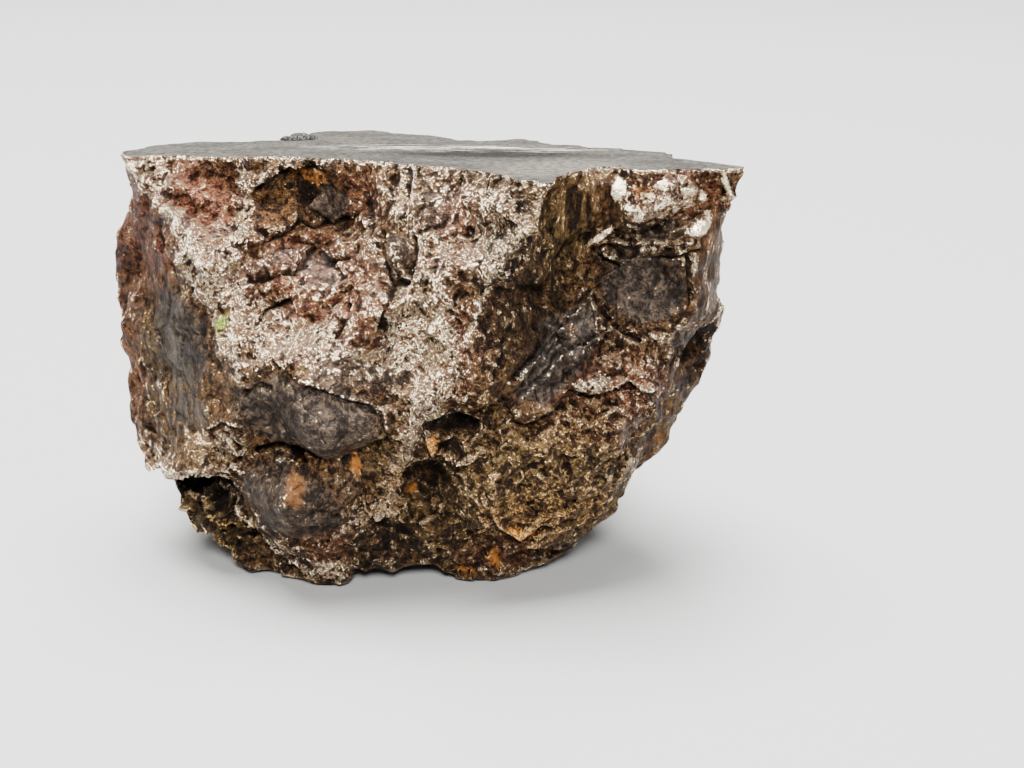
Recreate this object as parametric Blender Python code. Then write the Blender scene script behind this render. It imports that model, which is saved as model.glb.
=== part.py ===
"""Iron meteorite, sawn end piece: one rough stone with one flat sawn face.

The stone starts as a cage of corners joined by triangles. Their long edges are
halved until they are the size of a facet, and the points are pushed in and out by
scoops, tilted plates and small lumps. The saw plane then cuts off its top. It
stands on its rough side with the sawn face up.
"""
import bpy
import bmesh
import numpy as np
from math import radians

MM = 0.001

# Driving sizes, in millimetres. +X is along the sawn face, -Y is the front.
CENTRE = np.array((0.0, 0.0, 18.0))   # every corner can be seen from here
FACET_FRONT = 1.7                     # longest facet edge on the front
FACET_BACK = 2.4                      # and on the back, in the calmer relief
MOST_HALVINGS = 8                     # rounds of halving the long edges, at most
SAW_HEIGHT = 37.5                     # height of the sawn face at y = 0
SAW_TILT = radians(3.0)               # it falls away towards the back
ABOVE_SAW = 5.0                       # how far the sides run on before the cut
SAW_SLACK = 0.05                      # points this near the saw plane join its face
PLATE_SIZE = 6.0                      # a broken plate, corner to corner
PLATE_STEP = 0.6                      # how far plates stand in or out
PLATE_TILT = 0.22                     # and how much they slope
GRAIN_SIZE = 3.0                      # the lumps on the plates
GRAIN_HEIGHT = 0.35
WORN_FEET = 1.5                       # below this height the feet are worn smooth
SEED = 11

# The edge of the sawn face, seen from above: front from left to right, then back.
RIM_FRONT = (
    (-26.8, 0.8), (-19.2, -1.6), (-13.6, 2.0), (-9.5, -1.6), (-1.3, -5.1),
    (7.4, -9.0), (11.0, -15.2), (14.0, -9.5), (17.7, -5.1), (23.0, -4.0),
    (28.0, -8.0),
)
RIM_BACK = (
    (20.7, -1.2), (11.7, 5.0), (2.5, 8.0), (0.4, 12.3), (-5.7, 15.2),
    (-10.5, 13.7), (-13.5, 8.5), (-20.8, 6.7), (-25.8, 2.7),
)

# Corners of the rough sides, area by area, each from the top down.
LEFT_END = (
    (-26.8, 2.3, 34), (-27.4, 3, 31.5), (-26.8, 2.5, 30.8), (-29.3, 3, 26), (-28.8, 2, 22),
    (-28.1, 1, 17), (-28.5, 1, 15.3), (-28, 0, 13.3), (-27.5, -2, 10), (-24.5, -3.5, 22),
    (-23, -6, 13),
)
LEFT_RIDGE = (
    (-23.8, -2, 34.6), (-21.4, -5, 33), (-19.2, -7.5, 31.3), (-17, -9.5, 27.5),
    (-15.3, -11, 24.4), (-14.7, -12, 20), (-15, -12, 14),
)
DEEP_PIT = (
    (-15, -3, 34.3), (-14.7, -8, 30), (-9.5, -3.3, 33), (-6, -5, 32), (-8, -5.5, 30.5),
    (-11.5, -8.8, 29.5), (-9, -9.8, 27.3),
)
BRIGHT_FRONT = (
    (-1, -8.5, 33.3), (-1, -11.5, 29.5), (5, -11, 33), (-9.4, -14, 22.8), (-2.5, -15, 21),
    (1.6, -16, 20), (1.5, -13.8, 25),
)
NOSE_RIDGE = ((10, -14.8, 34.6), (7.5, -15, 32), (5.6, -15.5, 28.8), (4.6, -16, 25))
DARK_HOLLOW = (
    (13.5, -9.5, 33.5), (15, -8, 30.5), (11, -11, 28.5), (14.7, -9.7, 27.3),
    (9, -15, 20.5), (13.2, -12.8, 20.8), (16, -10.8, 24), (15, -14, 21.3),
    (16.5, -12.5, 19.8),
)
RIGHT_BULGE = (
    (17.5, -8.8, 36), (21, -9.6, 35.2), (24.2, -10.2, 33.5), (27.2, -8, 35.5),
    (26.8, -7, 33), (20.5, -8.5, 32.6), (19, -10.5, 30.7), (24, -10.5, 30),
    (16.5, -9.5, 28), (23.5, -10.5, 25.8), (26.6, -5.5, 28), (21, -11.5, 24.5),
)
RIGHT_END = (
    (26.3, -5, 21.7), (26.4, -5, 19.6), (25.7, -5, 17.5), (24.7, -5.5, 16),
    (24.3, -5.5, 14), (22.4, -6, 11.6), (19.5, -6.5, 9.8), (17.4, -7, 7.8), (17.2, -7, 5.5),
    (24.4, -7, 20.3), (19.5, -12.5, 18.6), (21.5, -9, 15.4), (16, -13, 15),
    (12.5, -14, 12.5), (16.3, -10, 8.2), (20.5, -11, 21.8),
)
GREY_BUMP = (
    (-11, -13.6, 21.8), (-7.8, -15.2, 20.3), (-9.5, -15.2, 17.3), (-2.3, -15.2, 18),
    (-2, -13.2, 14.6), (-6.5, -12.8, 13.8), (-13.4, -12, 13.8), (-10, -12.6, 14),
    (-14.8, -12.4, 11.3), (-11, -14.8, 10.5), (-7, -14.2, 10.8), (-4.6, -11.6, 11.5),
    (-6.3, -13, 7.5),
)
LOW_FRONT = (
    (3.8, -13.2, 17.3), (3, -15, 15.2), (7.8, -15.4, 14.5), (1.2, -11.4, 11.3),
    (6, -15, 10.6), (7.4, -14.3, 7.5), (11, -12.9, 7.7), (9.8, -12.8, 10.2),
    (3.6, -11.3, 3.5), (3.5, -11.6, 7.5), (-1.6, -12.2, 4.2), (-1.5, -12.6, 7.5),
)
LEDGE_AND_TONGUE = (
    (-25.6, -4, 8.2), (-20.3, -8, 11), (-23.3, -3.2, 6.9), (-20, -5, 7.8),
    (-16.8, -8.5, 9.4), (-22.7, -5, 5.3), (-22.2, -5.3, 4), (-20.3, -7, 4.6),
    (-19.3, -7, 3.7), (-17.5, -8, 2.4), (-16.6, -9, 0.1), (-14, -9.2, 0.1), (-17, -9.3, 7),
)
WIRE_RIDGE = ((-15.7, -10.6, 7.9), (-13.8, -12, 6.6), (-11.4, -12.7, 4.8), (-9.2, -12.7, 2.6))
FEET = (
    (-15, -9.2, 4), (-12.2, -10.4, 3), (-12.1, -10, 0.4), (-9.6, -11.6, 0), (-7.4, -11.6, 0),
    (-5.9, -11, 1.4), (-3, -10.8, 1.2), (0, -10.8, 1.4), (1.7, -10.6, 0.8),
    (4, -10.4, 0), (7.7, -10.2, 0), (9.2, -9.5, 0.3), (13.2, -8, 1.3), (15.2, -7.5, 2.9),
)
BACK_UPPER = (
    (-20, 9, 34), (-11, 16, 34.5), (-4, 17, 34), (8, 11, 34), (17, 4.5, 34),
    (-24, 8, 30), (-15, 14, 31), (-6, 18.5, 30), (4, 16, 30), (14, 11, 30), (23, 4.5, 30),
    (-21, 13, 25), (-12, 15.5, 26), (-1, 18.8, 25.5), (9, 14, 26), (18.5, 10.5, 25),
)
BACK_LOWER = (
    (-26, 8, 20), (-17, 14.5, 20), (-7, 18.3, 20.5), (4, 16.5, 19), (14, 13.5, 20), (23.5, 5, 20),
    (-24.5, 8.5, 14), (-16, 14.8, 15), (-9, 17.3, 14), (0, 15.3, 14), (9, 16, 15),
    (17.5, 7.5, 14), (22.3, 1, 13.5), (-23, 5, 9), (-14, 12, 9), (-4, 15, 9), (6, 13.5, 9),
    (14, 8, 8), (18.5, 1, 9),
)
UNDERSIDE = (
    (-19, 5, 5), (-12, 10, 4.5), (-3, 11, 4.5), (4, 12, 4), (11, 7.5, 4), (15.5, 1, 4.5),
    (-18, 0, 3.5), (-14, 3, 3), (-9, 8, 0), (6, 8.7, 0), (-1, 6, 3.5), (-7, 0, 4.5),
    (0, -3, 5.2), (8, 0, 3.8), (-9, -6, 3), (7, -5.5, 2.6), (-1, -7.5, 3.4), (12, -3, 2.2),
)
ROUGH_SIDES = (
    LEFT_END + LEFT_RIDGE + DEEP_PIT + BRIGHT_FRONT + NOSE_RIDGE + DARK_HOLLOW
    + RIGHT_BULGE + RIGHT_END + GREY_BUMP + LOW_FRONT + LEDGE_AND_TONGUE + WIRE_RIDGE
    + FEET + BACK_UPPER + BACK_LOWER + UNDERSIDE
)

# Rounded hollows and lumps: place, radius and how far they push out (or in, below 0).
SCOOPS = (
    ((-8, -5, 31.5), 3.5, -0.8),    # the deep pit below the rim
    ((12.5, -10.5, 29), 4.5, -0.7), # dark hollow right of the nose
    ((0.5, -13, 12), 2.8, -0.8),    # a pit low on the front
    ((-1, -8, 2), 5.0, -1.0),       # the arch between the front feet
    ((-2, -11, 31), 1.8, 0.8),      # a lump like a drop
    ((-7, -14, 17), 4.0, 0.5),      # the grey bump
    ((-10, 18, 24), 7.0, -1.6),     # thumb-sized hollows on the back
    ((10, 15, 25), 5.5, -1.2),
    ((6, 15, 13), 6.0, -1.4),
    ((-19, 11, 14), 6.0, -1.4),
)


def saw_normal():
    """The sawn face's outward direction."""
    return np.array((0.0, np.sin(SAW_TILT), np.cos(SAW_TILT)))


def saw_height(y):
    """Height of the sawn face above the point y on the floor."""
    return SAW_HEIGHT - np.tan(SAW_TILT) * y


def cage_corners():
    """All corners, with a second rim above the saw that keeps the sides going up."""
    rim = np.array(RIM_FRONT + RIM_BACK)
    height = saw_height(rim[:, 1])
    at_saw = np.column_stack((rim, height))
    above = np.column_stack((rim, height + ABOVE_SAW))
    top = ((0.0, 0.0, SAW_HEIGHT + ABOVE_SAW),)
    return np.vstack((at_saw, above, top, ROUGH_SIDES))


def cage():
    """Closed mesh of the corners, in millimetres.

    The corners are first set one unit from the centre, where their hull joins each
    to its neighbours without folds. Then each goes out to its own place.
    """
    corners = cage_corners()
    arms = corners - CENTRE
    arms /= np.linalg.norm(arms, axis=1)[:, None]
    bm = bmesh.new()
    for arm in arms:
        bm.verts.new(arm)
    bmesh.ops.convex_hull(bm, input=bm.verts, use_existing_faces=False)
    for vert, corner in zip(bm.verts, corners):
        vert.co = corner
    return bm


def lattice_random(cells, channel):
    """A repeatable random number from 0 to 1 for each whole-numbered cell."""
    x, y, z = (cells[..., i].astype(np.uint32) for i in range(3))
    h = x * np.uint32(374761393) + y * np.uint32(668265263) + z * np.uint32(2147483647)
    h += np.uint32(SEED * 974634 + channel * 362437)
    h = (h ^ (h >> np.uint32(13))) * np.uint32(1274126177)
    h = (h ^ (h >> np.uint32(15))) * np.uint32(2246822519)
    return (h ^ (h >> np.uint32(16))) / 4294967296.0


def lumps(points, size, channel):
    """Smooth noise from -1 to 1: random values at the lattice, eased between them."""
    scaled = points / size
    base = np.floor(scaled).astype(np.int64)
    part = scaled - base
    ease = part * part * (3 - 2 * part)
    total = np.zeros(len(points))
    for corner in np.ndindex(2, 2, 2):
        step = np.array(corner)
        weight = np.where(step, ease, 1 - ease).prod(axis=1)
        total += weight * lattice_random(base + step, channel)
    return total * 2 - 1


def plates(points, size, step, tilt):
    """Broken plates: each cell of a jittered lattice is its own sloping flat.

    A point belongs to the nearest cell centre. Its height is that plate's random
    step, plus the plate's random slope times the way to its centre.
    """
    scaled = points / size
    base = np.floor(scaled).astype(np.int64)
    nearest = np.full(len(points), np.inf)
    height = np.zeros(len(points))
    for offset in np.ndindex(3, 3, 3):
        cell = base + np.array(offset) - 1
        jitter = np.stack([lattice_random(cell, c) for c in (1, 2, 3)], axis=1)
        away = scaled - (cell + jitter)
        distance = np.linalg.norm(away, axis=1)
        slope = np.stack([lattice_random(cell, c) for c in (4, 5, 6)], axis=1) * 2 - 1
        level = (lattice_random(cell, 7) * 2 - 1) * step
        level += (slope * away).sum(axis=1) * size * tilt
        closer = distance < nearest
        nearest = np.where(closer, distance, nearest)
        height = np.where(closer, level, height)
    return height


def scoops(points):
    """Sum of the rounded hollows and lumps, each a bell-shaped push."""
    total = np.zeros(len(points))
    for place, radius, push in SCOOPS:
        distance = np.linalg.norm(points - np.array(place), axis=1)
        total += push * np.exp(-(distance / radius) ** 2)
    return total


def refine(bm):
    """Halve the long edges until none is longer than a facet, shorter at the front."""
    for _ in range(MOST_HALVINGS):
        long_edges = [e for e in bm.edges if e.calc_length() > facet_size(e)]
        if not long_edges:
            break
        bmesh.ops.subdivide_edges(bm, edges=long_edges, cuts=1)
        bmesh.ops.triangulate(bm, faces=[f for f in bm.faces if len(f.verts) > 3])


def facet_size(edge):
    """Longest facet edge allowed where this edge lies."""
    middle = (edge.verts[0].co + edge.verts[1].co) / 2
    return FACET_FRONT if middle.y < 0 else FACET_BACK


def roughen(bm):
    """Push the points in and out along the surface's normals."""
    bm.normal_update()
    bm.verts.index_update()
    points = np.array([v.co[:] for v in bm.verts])
    normals = np.array([v.normal[:] for v in bm.verts])
    push = scoops(points) + plates(points, PLATE_SIZE, PLATE_STEP, PLATE_TILT)
    push += GRAIN_HEIGHT * lumps(points, GRAIN_SIZE, 8)
    push *= np.clip(points[:, 2] / WORN_FEET, 0.1, 1)
    push = blend_with_neighbours(bm, push)
    for vert, place in zip(bm.verts, (points + normals * push[:, None]) * MM):
        vert.co = place


def blend_with_neighbours(bm, values):
    """Average each point's value with the mean of its neighbours', so steps stay open."""
    ends = np.array([[v.index for v in e.verts] for e in bm.edges])
    total = np.zeros(len(values))
    np.add.at(total, ends[:, 0], values[ends[:, 1]])
    np.add.at(total, ends[:, 1], values[ends[:, 0]])
    count = np.bincount(ends.ravel(), minlength=len(values))
    return (values + total / count) / 2


def saw_off_top(bm):
    """Cut the stone with the saw plane and close the cut with one flat face."""
    bmesh.ops.bisect_plane(
        bm, geom=bm.verts[:] + bm.edges[:] + bm.faces[:], dist=SAW_SLACK * MM,
        plane_co=(0.0, 0.0, SAW_HEIGHT * MM), plane_no=saw_normal(), clear_outer=True)
    drop_chips(bm)
    bmesh.ops.contextual_create(bm, geom=[e for e in bm.edges if e.is_boundary])


def drop_chips(bm):
    """Delete small bits that the saw cut free, and keep the largest piece."""
    pieces = []
    unseen = set(bm.verts)
    while unseen:
        piece = set()
        front = [unseen.pop()]
        while front:
            vert = front.pop()
            piece.add(vert)
            near = {e.other_vert(vert) for e in vert.link_edges} & unseen
            unseen -= near
            front += near
        pieces.append(piece)
    pieces.sort(key=len)
    for chip in pieces[:-1]:
        bmesh.ops.delete(bm, geom=list(chip), context="VERTS")


def stand_on_floor(bm):
    """Put the middle of the stone's box over the origin and its feet at z = 0."""
    places = np.array([v.co[:] for v in bm.verts])
    low, high = places.min(axis=0), places.max(axis=0)
    shift = np.array((-(low[0] + high[0]) / 2, -(low[1] + high[1]) / 2, -low[2]))
    bmesh.ops.translate(bm, verts=bm.verts, vec=shift)
    print("box, mm:", np.round((high - low) / MM, 2), "moved by, mm:", np.round(shift / MM, 2))


def rusted_iron():
    """Dark brown weathered crust."""
    material = bpy.data.materials.new("rusted iron")
    material.use_nodes = True
    shader = material.node_tree.nodes["Principled BSDF"]
    shader.inputs["Base Color"].default_value = (0.09, 0.05, 0.03, 1.0)
    shader.inputs["Metallic"].default_value = 0.6
    shader.inputs["Roughness"].default_value = 0.5
    material.diffuse_color = (0.09, 0.05, 0.03, 1.0)
    return material


def build_meteorite(collection):
    """Model the stone as one closed mesh."""
    bm = cage()
    refine(bm)
    roughen(bm)
    saw_off_top(bm)
    bmesh.ops.triangulate(bm, faces=bm.faces)
    bmesh.ops.recalc_face_normals(bm, faces=bm.faces)
    stand_on_floor(bm)
    mesh = bpy.data.meshes.new("meteorite")
    bm.to_mesh(mesh)
    bm.free()
    mesh.materials.append(rusted_iron())
    stone = bpy.data.objects.new("meteorite", mesh)
    collection.objects.link(stone)
    print("triangles:", len(mesh.polygons))


def main():
    for old in list(bpy.data.objects):
        bpy.data.objects.remove(old)
    collection = bpy.data.collections.new("iron meteorite")
    bpy.context.scene.collection.children.link(collection)
    build_meteorite(collection)


main()
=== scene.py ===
# %% [markdown]
# # An iron meteorite with one sawn face
#
# The real thing is a single lump of nickel iron. Three kinds of surface tell its
# story: a rusty, broken crust that is dark in the hollows and worn to bright metal on
# the ridges, a few smooth plates of grey oxide, and one face that a saw made flat.
#
# There is only one piece to model, and a small burr on it, so this lesson is about
# surface. We take the coarse stone from the frame, divide it finely, and then work on it
# the way breaking and weather did: random plates and crumple all over, then the ledges,
# cracks and pits that anyone would know it by, and colour last. A sculptor would do this
# by hand with brushes. Here everything is a formula on whole numpy arrays, one number for
# each point of the mesh, so that every form can be read, moved and made again.

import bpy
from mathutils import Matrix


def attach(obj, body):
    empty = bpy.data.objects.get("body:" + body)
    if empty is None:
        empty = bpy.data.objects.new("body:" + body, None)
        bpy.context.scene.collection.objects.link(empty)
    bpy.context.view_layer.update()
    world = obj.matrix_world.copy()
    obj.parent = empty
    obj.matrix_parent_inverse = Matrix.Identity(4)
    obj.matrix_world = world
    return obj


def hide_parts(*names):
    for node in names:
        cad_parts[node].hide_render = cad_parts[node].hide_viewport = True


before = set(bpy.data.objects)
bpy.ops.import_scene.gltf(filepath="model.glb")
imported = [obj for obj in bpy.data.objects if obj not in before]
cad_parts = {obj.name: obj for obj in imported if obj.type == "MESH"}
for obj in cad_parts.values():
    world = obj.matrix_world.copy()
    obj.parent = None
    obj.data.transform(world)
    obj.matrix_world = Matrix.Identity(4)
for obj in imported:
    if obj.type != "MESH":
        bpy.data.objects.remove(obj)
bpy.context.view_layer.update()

# %% Other modules
from math import radians

import bmesh
import bpy
import numpy as np
from mathutils import Vector

MM = 0.001

# %% [markdown]
# ## The saw plane
#
# The flat face falls three degrees towards the back. A Boolean with a large box could cut
# it, but a plane is only a direction and a height, and every later step can ask how far
# it is from that. The relief is carved on a stone that runs on a little above the plane,
# and the cut is made last, so that its edge is as crisp as a saw leaves it.

# %% The saw plane
SAW_TILT = radians(3.0)
SAW_NORMAL = np.array((0.0, np.sin(SAW_TILT), np.cos(SAW_TILT)))
SAW_AXIS = Vector(SAW_NORMAL)
SAW_SLACK = 0.07        # mm that corners of the frame's flat face may lie off its plane
NEARLY_ALONG = 0.999    # least share of a face's direction that lies along the axis
WELD = 0.001 * MM       # corners this near each other are one

coarse = bmesh.new()
coarse.from_mesh(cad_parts["meteorite"].data)
bmesh.ops.remove_doubles(coarse, verts=coarse.verts, dist=WELD)
largest = max((f for f in coarse.faces if f.normal.dot(SAW_AXIS) > NEARLY_ALONG),
              key=lambda f: f.calc_area())
SAW_LEVEL = largest.calc_center_median().dot(SAW_AXIS) / MM
flat = [f for f in coarse.faces
        if all(abs(v.co.dot(SAW_AXIS) / MM - SAW_LEVEL) < SAW_SLACK for v in f.verts)]
print("saw plane stands at", round(SAW_LEVEL, 3), "mm and has", len(flat), "triangles")

# %% [markdown]
# ## A finer stone
#
# The frame's triangles are one to two millimetres long, too coarse for grain. We take
# the flat face off, pull its open edge up past the saw plane as a short wall, and cut
# every edge into three, then the edges of the front once more, because that is where
# the crust has the forms that people look at. A Remesh modifier would do too, but it
# forgets the sharp ridges that the coarse stone has along its edges.

# %% Open the top, raise a short wall and divide
ALLOWANCE = 1.5         # mm of stone above the cut, to be sawn off at the end
FRONT_FACING = 0.55     # least share of the facing direction that points to the front


def to_arrays(bm):
    """Points in millimetres and triangles as corner numbers, from a bmesh."""
    mesh = bpy.data.meshes.new("passing through")
    bm.to_mesh(mesh)
    places = np.empty(3 * len(mesh.vertices), np.float32)
    mesh.vertices.foreach_get("co", places)
    corners = np.empty(len(mesh.loops), np.int32)
    mesh.loops.foreach_get("vertex_index", corners)
    bpy.data.meshes.remove(mesh)
    return places.reshape(-1, 3).astype(float) / MM, corners.reshape(-1, 3)


bmesh.ops.delete(coarse, geom=flat, context="FACES")
open_edge = [e for e in coarse.edges if e.is_boundary]
wall = bmesh.ops.extrude_edge_only(coarse, edges=open_edge)
wall_top = [g for g in wall["geom"] if isinstance(g, bmesh.types.BMVert)]
bmesh.ops.translate(coarse, verts=wall_top, vec=SAW_AXIS * ALLOWANCE * MM)
bmesh.ops.triangulate(coarse, faces=coarse.faces)
bmesh.ops.subdivide_edges(coarse, edges=coarse.edges, cuts=2, use_grid_fill=True)
bmesh.ops.triangulate(coarse, faces=coarse.faces)
coarse.normal_update()
front_edges = [e for e in coarse.edges
               if all(-f.normal.y > FRONT_FACING for f in e.link_faces)]
bmesh.ops.subdivide_edges(coarse, edges=front_edges, cuts=1, use_grid_fill=True)
bmesh.ops.triangulate(coarse, faces=coarse.faces)
points, triangles = to_arrays(coarse)
coarse.free()
print("fine stone:", len(points), "points and", len(triangles), "triangles")

# %% [markdown]
# ## Working on arrays
#
# From here on the stone is an array of points. Smooth and Displace modifiers could do
# part of what follows, but they can't ask where a point lies on the stone. Three small
# tools are enough: the mean of each point's neighbours, the direction it faces, and a
# few kinds of noise. Each call of a noise ends with a channel. Two calls with different
# channels are unlike each other, and the same channel always gives the same numbers.

# %% Neighbours and directions
pairs = np.vstack((triangles[:, (0, 1)], triangles[:, (1, 2)], triangles[:, (2, 0)]))
edges = np.unique(np.sort(pairs, axis=1), axis=0)
neighbour_count = np.bincount(edges.ravel(), minlength=len(points))


def gather(ends, values):
    """Sum the values that arrive at each point, for one value or for each column."""
    if values.ndim == 1:
        return np.bincount(ends, values, minlength=len(points))
    return np.column_stack([gather(ends, column) for column in values.T])


def neighbour_mean(values):
    """Mean of the values of the points that share an edge with each point."""
    total = gather(edges[:, 0], values[edges[:, 1]]) + gather(edges[:, 1], values[edges[:, 0]])
    return total / (neighbour_count if values.ndim == 1 else neighbour_count[:, None])


def smoothed(values, rounds):
    """Move values halfway to their neighbours' mean, a number of times."""
    for _ in range(rounds):
        values = (values + neighbour_mean(values)) / 2
    return values


def facing(places):
    """Outward unit directions: the sum of the triangle normals at each point."""
    a, b, c = (places[triangles[:, i]] for i in range(3))
    normals = np.cross(b - a, c - a)
    total = sum(gather(triangles[:, i], normals) for i in range(3))
    return total / np.linalg.norm(total, axis=1)[:, None]


print("edges:", len(edges), "mean edge, mm:",
      np.linalg.norm(points[edges[:, 0]] - points[edges[:, 1]], axis=1).mean().round(3))

# %% Random numbers that belong to places
def cell_random(cells, channel):
    """A repeatable random number from 0 to 1 for each whole-numbered cell."""
    x, y, z = (cells[..., i].astype(np.uint32) for i in range(3))
    h = x * np.uint32(374761393) + y * np.uint32(668265263) + z * np.uint32(2147483647)
    h += np.uint32(channel * 362437 + 7919)
    h = (h ^ (h >> np.uint32(13))) * np.uint32(1274126177)
    h = (h ^ (h >> np.uint32(15))) * np.uint32(2246822519)
    return (h ^ (h >> np.uint32(16))) / 4294967296.0


def lumps(places, size, channel):
    """Smooth noise from -1 to 1: random values at a lattice, eased between them."""
    scaled = places / size
    base = np.floor(scaled).astype(np.int64)
    part = scaled - base
    ease = part * part * (3 - 2 * part)
    total = np.zeros(len(places))
    for corner in np.ndindex(2, 2, 2):
        step = np.array(corner)
        weight = np.where(step, ease, 1 - ease).prod(axis=1)
        total += weight * cell_random(base + step, channel)
    return total * 2 - 1


def grain(places, size, octaves, channel):
    """Lumps on lumps: each octave is half as large and half as high as the last."""
    return sum(lumps(places, size / 2**i, channel + i) / 2**i for i in range(octaves))


def crumpled(places, size, octaves, channel):
    """Sharp crests and round hollows: 1 minus twice the lumps without their sign."""
    return sum((1 - 2 * np.abs(lumps(places, size / 2**i, channel + i))) / 2**i
               for i in range(octaves))


sample = grain(points[::50], 2.0, 3, 0)
print("grain in three octaves: from", sample.min().round(2), "to", sample.max().round(2))

# %% Broken plates and smooth steps
def cells(places, size, channel):
    """Nearest and next nearest seed of a jittered lattice.

    Gives the distance to both in cell sizes, the way to the nearest, and its cell.
    """
    scaled = places / size
    base = np.floor(scaled).astype(np.int64)
    first = np.full(len(places), 9.0)
    second = first.copy()
    way = np.zeros_like(places)
    home = base.copy()
    for offset in np.ndindex(3, 3, 3):
        cell = base + np.array(offset) - 1
        jitter = np.stack([cell_random(cell, channel + i) for i in range(3)], axis=1)
        away = scaled - (cell + jitter)
        distance = np.linalg.norm(away, axis=1)
        closer = distance < first
        second = np.where(closer, first, np.minimum(second, distance))
        first = np.where(closer, distance, first)
        way = np.where(closer[:, None], away, way)
        home = np.where(closer[:, None], cell, home)
    return first, second, way, home


def plates(places, size, step, tilt, channel):
    """Broken plates: each cell has a random level, plus a random slope times the way."""
    first, second, way, home = cells(places, size, channel)
    slope = np.stack([cell_random(home, channel + i) for i in (3, 4, 5)], axis=1) * 2 - 1
    level = (cell_random(home, channel + 6) * 2 - 1) * step
    return level + (slope * way).sum(axis=1) * size * tilt


def eased(values, low, high):
    """Smooth step: 0 below low, 1 above high."""
    t = np.clip((values - low) / (high - low), 0, 1)
    return t * t * (3 - 2 * t)


print("eased from 0 to 1 in quarters:", eased(np.linspace(0, 1, 5), 0, 1).round(2))

# %% [markdown]
# ## Rounding the frame's facets
#
# The new points lie on the old triangles, so those still show as flats. A few rounds of
# smoothing soften them. Subdivision Surface would round them too, but it would also
# round the ridges, which a few short steps leave standing.

# %% Soften the facets
SOFTENING_ROUNDS = 8
before = points.copy()
points = smoothed(points, SOFTENING_ROUNDS)
print("softened by, mm:", np.abs(points - before).max().round(2), "at most")

# %% [markdown]
# ## Named forms of the front
#
# The front has forms that anyone would know again: a hooked ledge in the deep pit, a
# slit under the grey bump, an overhanging shelf at the lower left, the torn tongue
# below it. They could be sculpted, but a table can be read and corrected. Each form is a
# short line or an ellipse drawn on the front in millimetres, across (x) and up (z). A
# point's distance from it, and the side it lies on, set how far the point moves:
#
# - a cut goes in and a crest comes out, both highest on the line;
# - a shelf stands out above its line and drops sharply at it;
# - a lump or a bowl is an ellipse, and a plate is an ellipse with a steep edge;
# - a flake is a plate that has come loose along one side.

# %% Distances on the front
def side_of_line(across, up, line):
    """Distance from a line of straight runs, and the side: above 0 is left of it."""
    best = np.full(len(across), 1e9)
    side = np.zeros(len(across))
    for (x0, z0), (x1, z1) in zip(line[:-1], line[1:]):
        run = np.array((x1 - x0, z1 - z0))
        along = ((across - x0) * run[0] + (up - z0) * run[1]) / (run @ run)
        along = np.clip(along, 0, 1)
        dx, dz = across - x0 - along * run[0], up - z0 - along * run[1]
        distance = np.hypot(dx, dz)
        closer = distance < best
        best = np.where(closer, distance, best)
        side = np.where(closer, np.sign(run[0] * dz - run[1] * dx), side)
    return best, side


def ellipse_radius(across, up, middle, half, turn=0.0):
    """0 at the middle of an ellipse and 1 on its edge, turned by so many degrees."""
    dx, dz = across - middle[0], up - middle[1]
    c, s = np.cos(radians(turn)), np.sin(radians(turn))
    return np.hypot((dx * c + dz * s) / half[0], (dz * c - dx * s) / half[1])


away, left = side_of_line(np.array((3.0,)), np.array((2.0,)), ((0.0, 0.0), (9.0, 0.0)))
print("2 mm above a line that runs right: distance", away, "and side", left)

# %% Kinds of form
def cut(across, up, line, width, push):
    """A groove: 1 minus the distance over the width, to the power 1.5, pushed in."""
    distance, _ = side_of_line(across, up, line)
    return -push * np.clip(1 - distance / width, 0, 1) ** 1.5


def crest(across, up, line, width, push):
    """A ridge: a cut with the same line and width, pushed out."""
    return -cut(across, up, line, width, push)


def shelf(across, up, line, width, push):
    """A ledge that stands out on the left of the line and is undercut on its right.

    On the left it is a bell curve of the distance, on the right a narrower one with 0.7
    of the push, the other way.
    """
    distance, side = side_of_line(across, up, line)
    outer = np.exp(-(distance / width) ** 2) * (side > 0)
    under = -0.7 * np.exp(-(distance / (0.45 * width)) ** 2) * (side <= 0)
    return push * (outer + under)


def lump(across, up, middle, half, push, turn=0.0):
    """A swelling, or a bowl where the push is below 0: 1 minus the squared radius."""
    return push * np.clip(1 - ellipse_radius(across, up, middle, half, turn) ** 2, 0, 1)


def plate(across, up, middle, half, push, turn=0.0):
    """A flat patch: the whole push inside, eased to 0 over the last 0.18 of the radius."""
    return push * eased(1 - ellipse_radius(across, up, middle, half, turn), 0.0, 0.18)


def flake(across, up, middle, half, push, turn, lift):
    """A patch that has come loose on one side: level on one edge and lifted on the other.

    The lift is the direction in degrees from the middle to the lifted edge. In the middle
    the patch has 0.4 of its push, and gains 0.6 over half its width that way.
    """
    c, s = np.cos(radians(lift)), np.sin(radians(lift))
    towards = ((across - middle[0]) * c + (up - middle[1]) * s) / np.mean(half)
    edge = eased(1 - ellipse_radius(across, up, middle, half, turn), 0.0, 0.12)
    return push * edge * np.clip(0.4 + 0.6 * towards, 0, 1)


print("kinds:", ", ".join(kind.__name__ for kind in (cut, crest, shelf, lump, plate, flake)))

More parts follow.
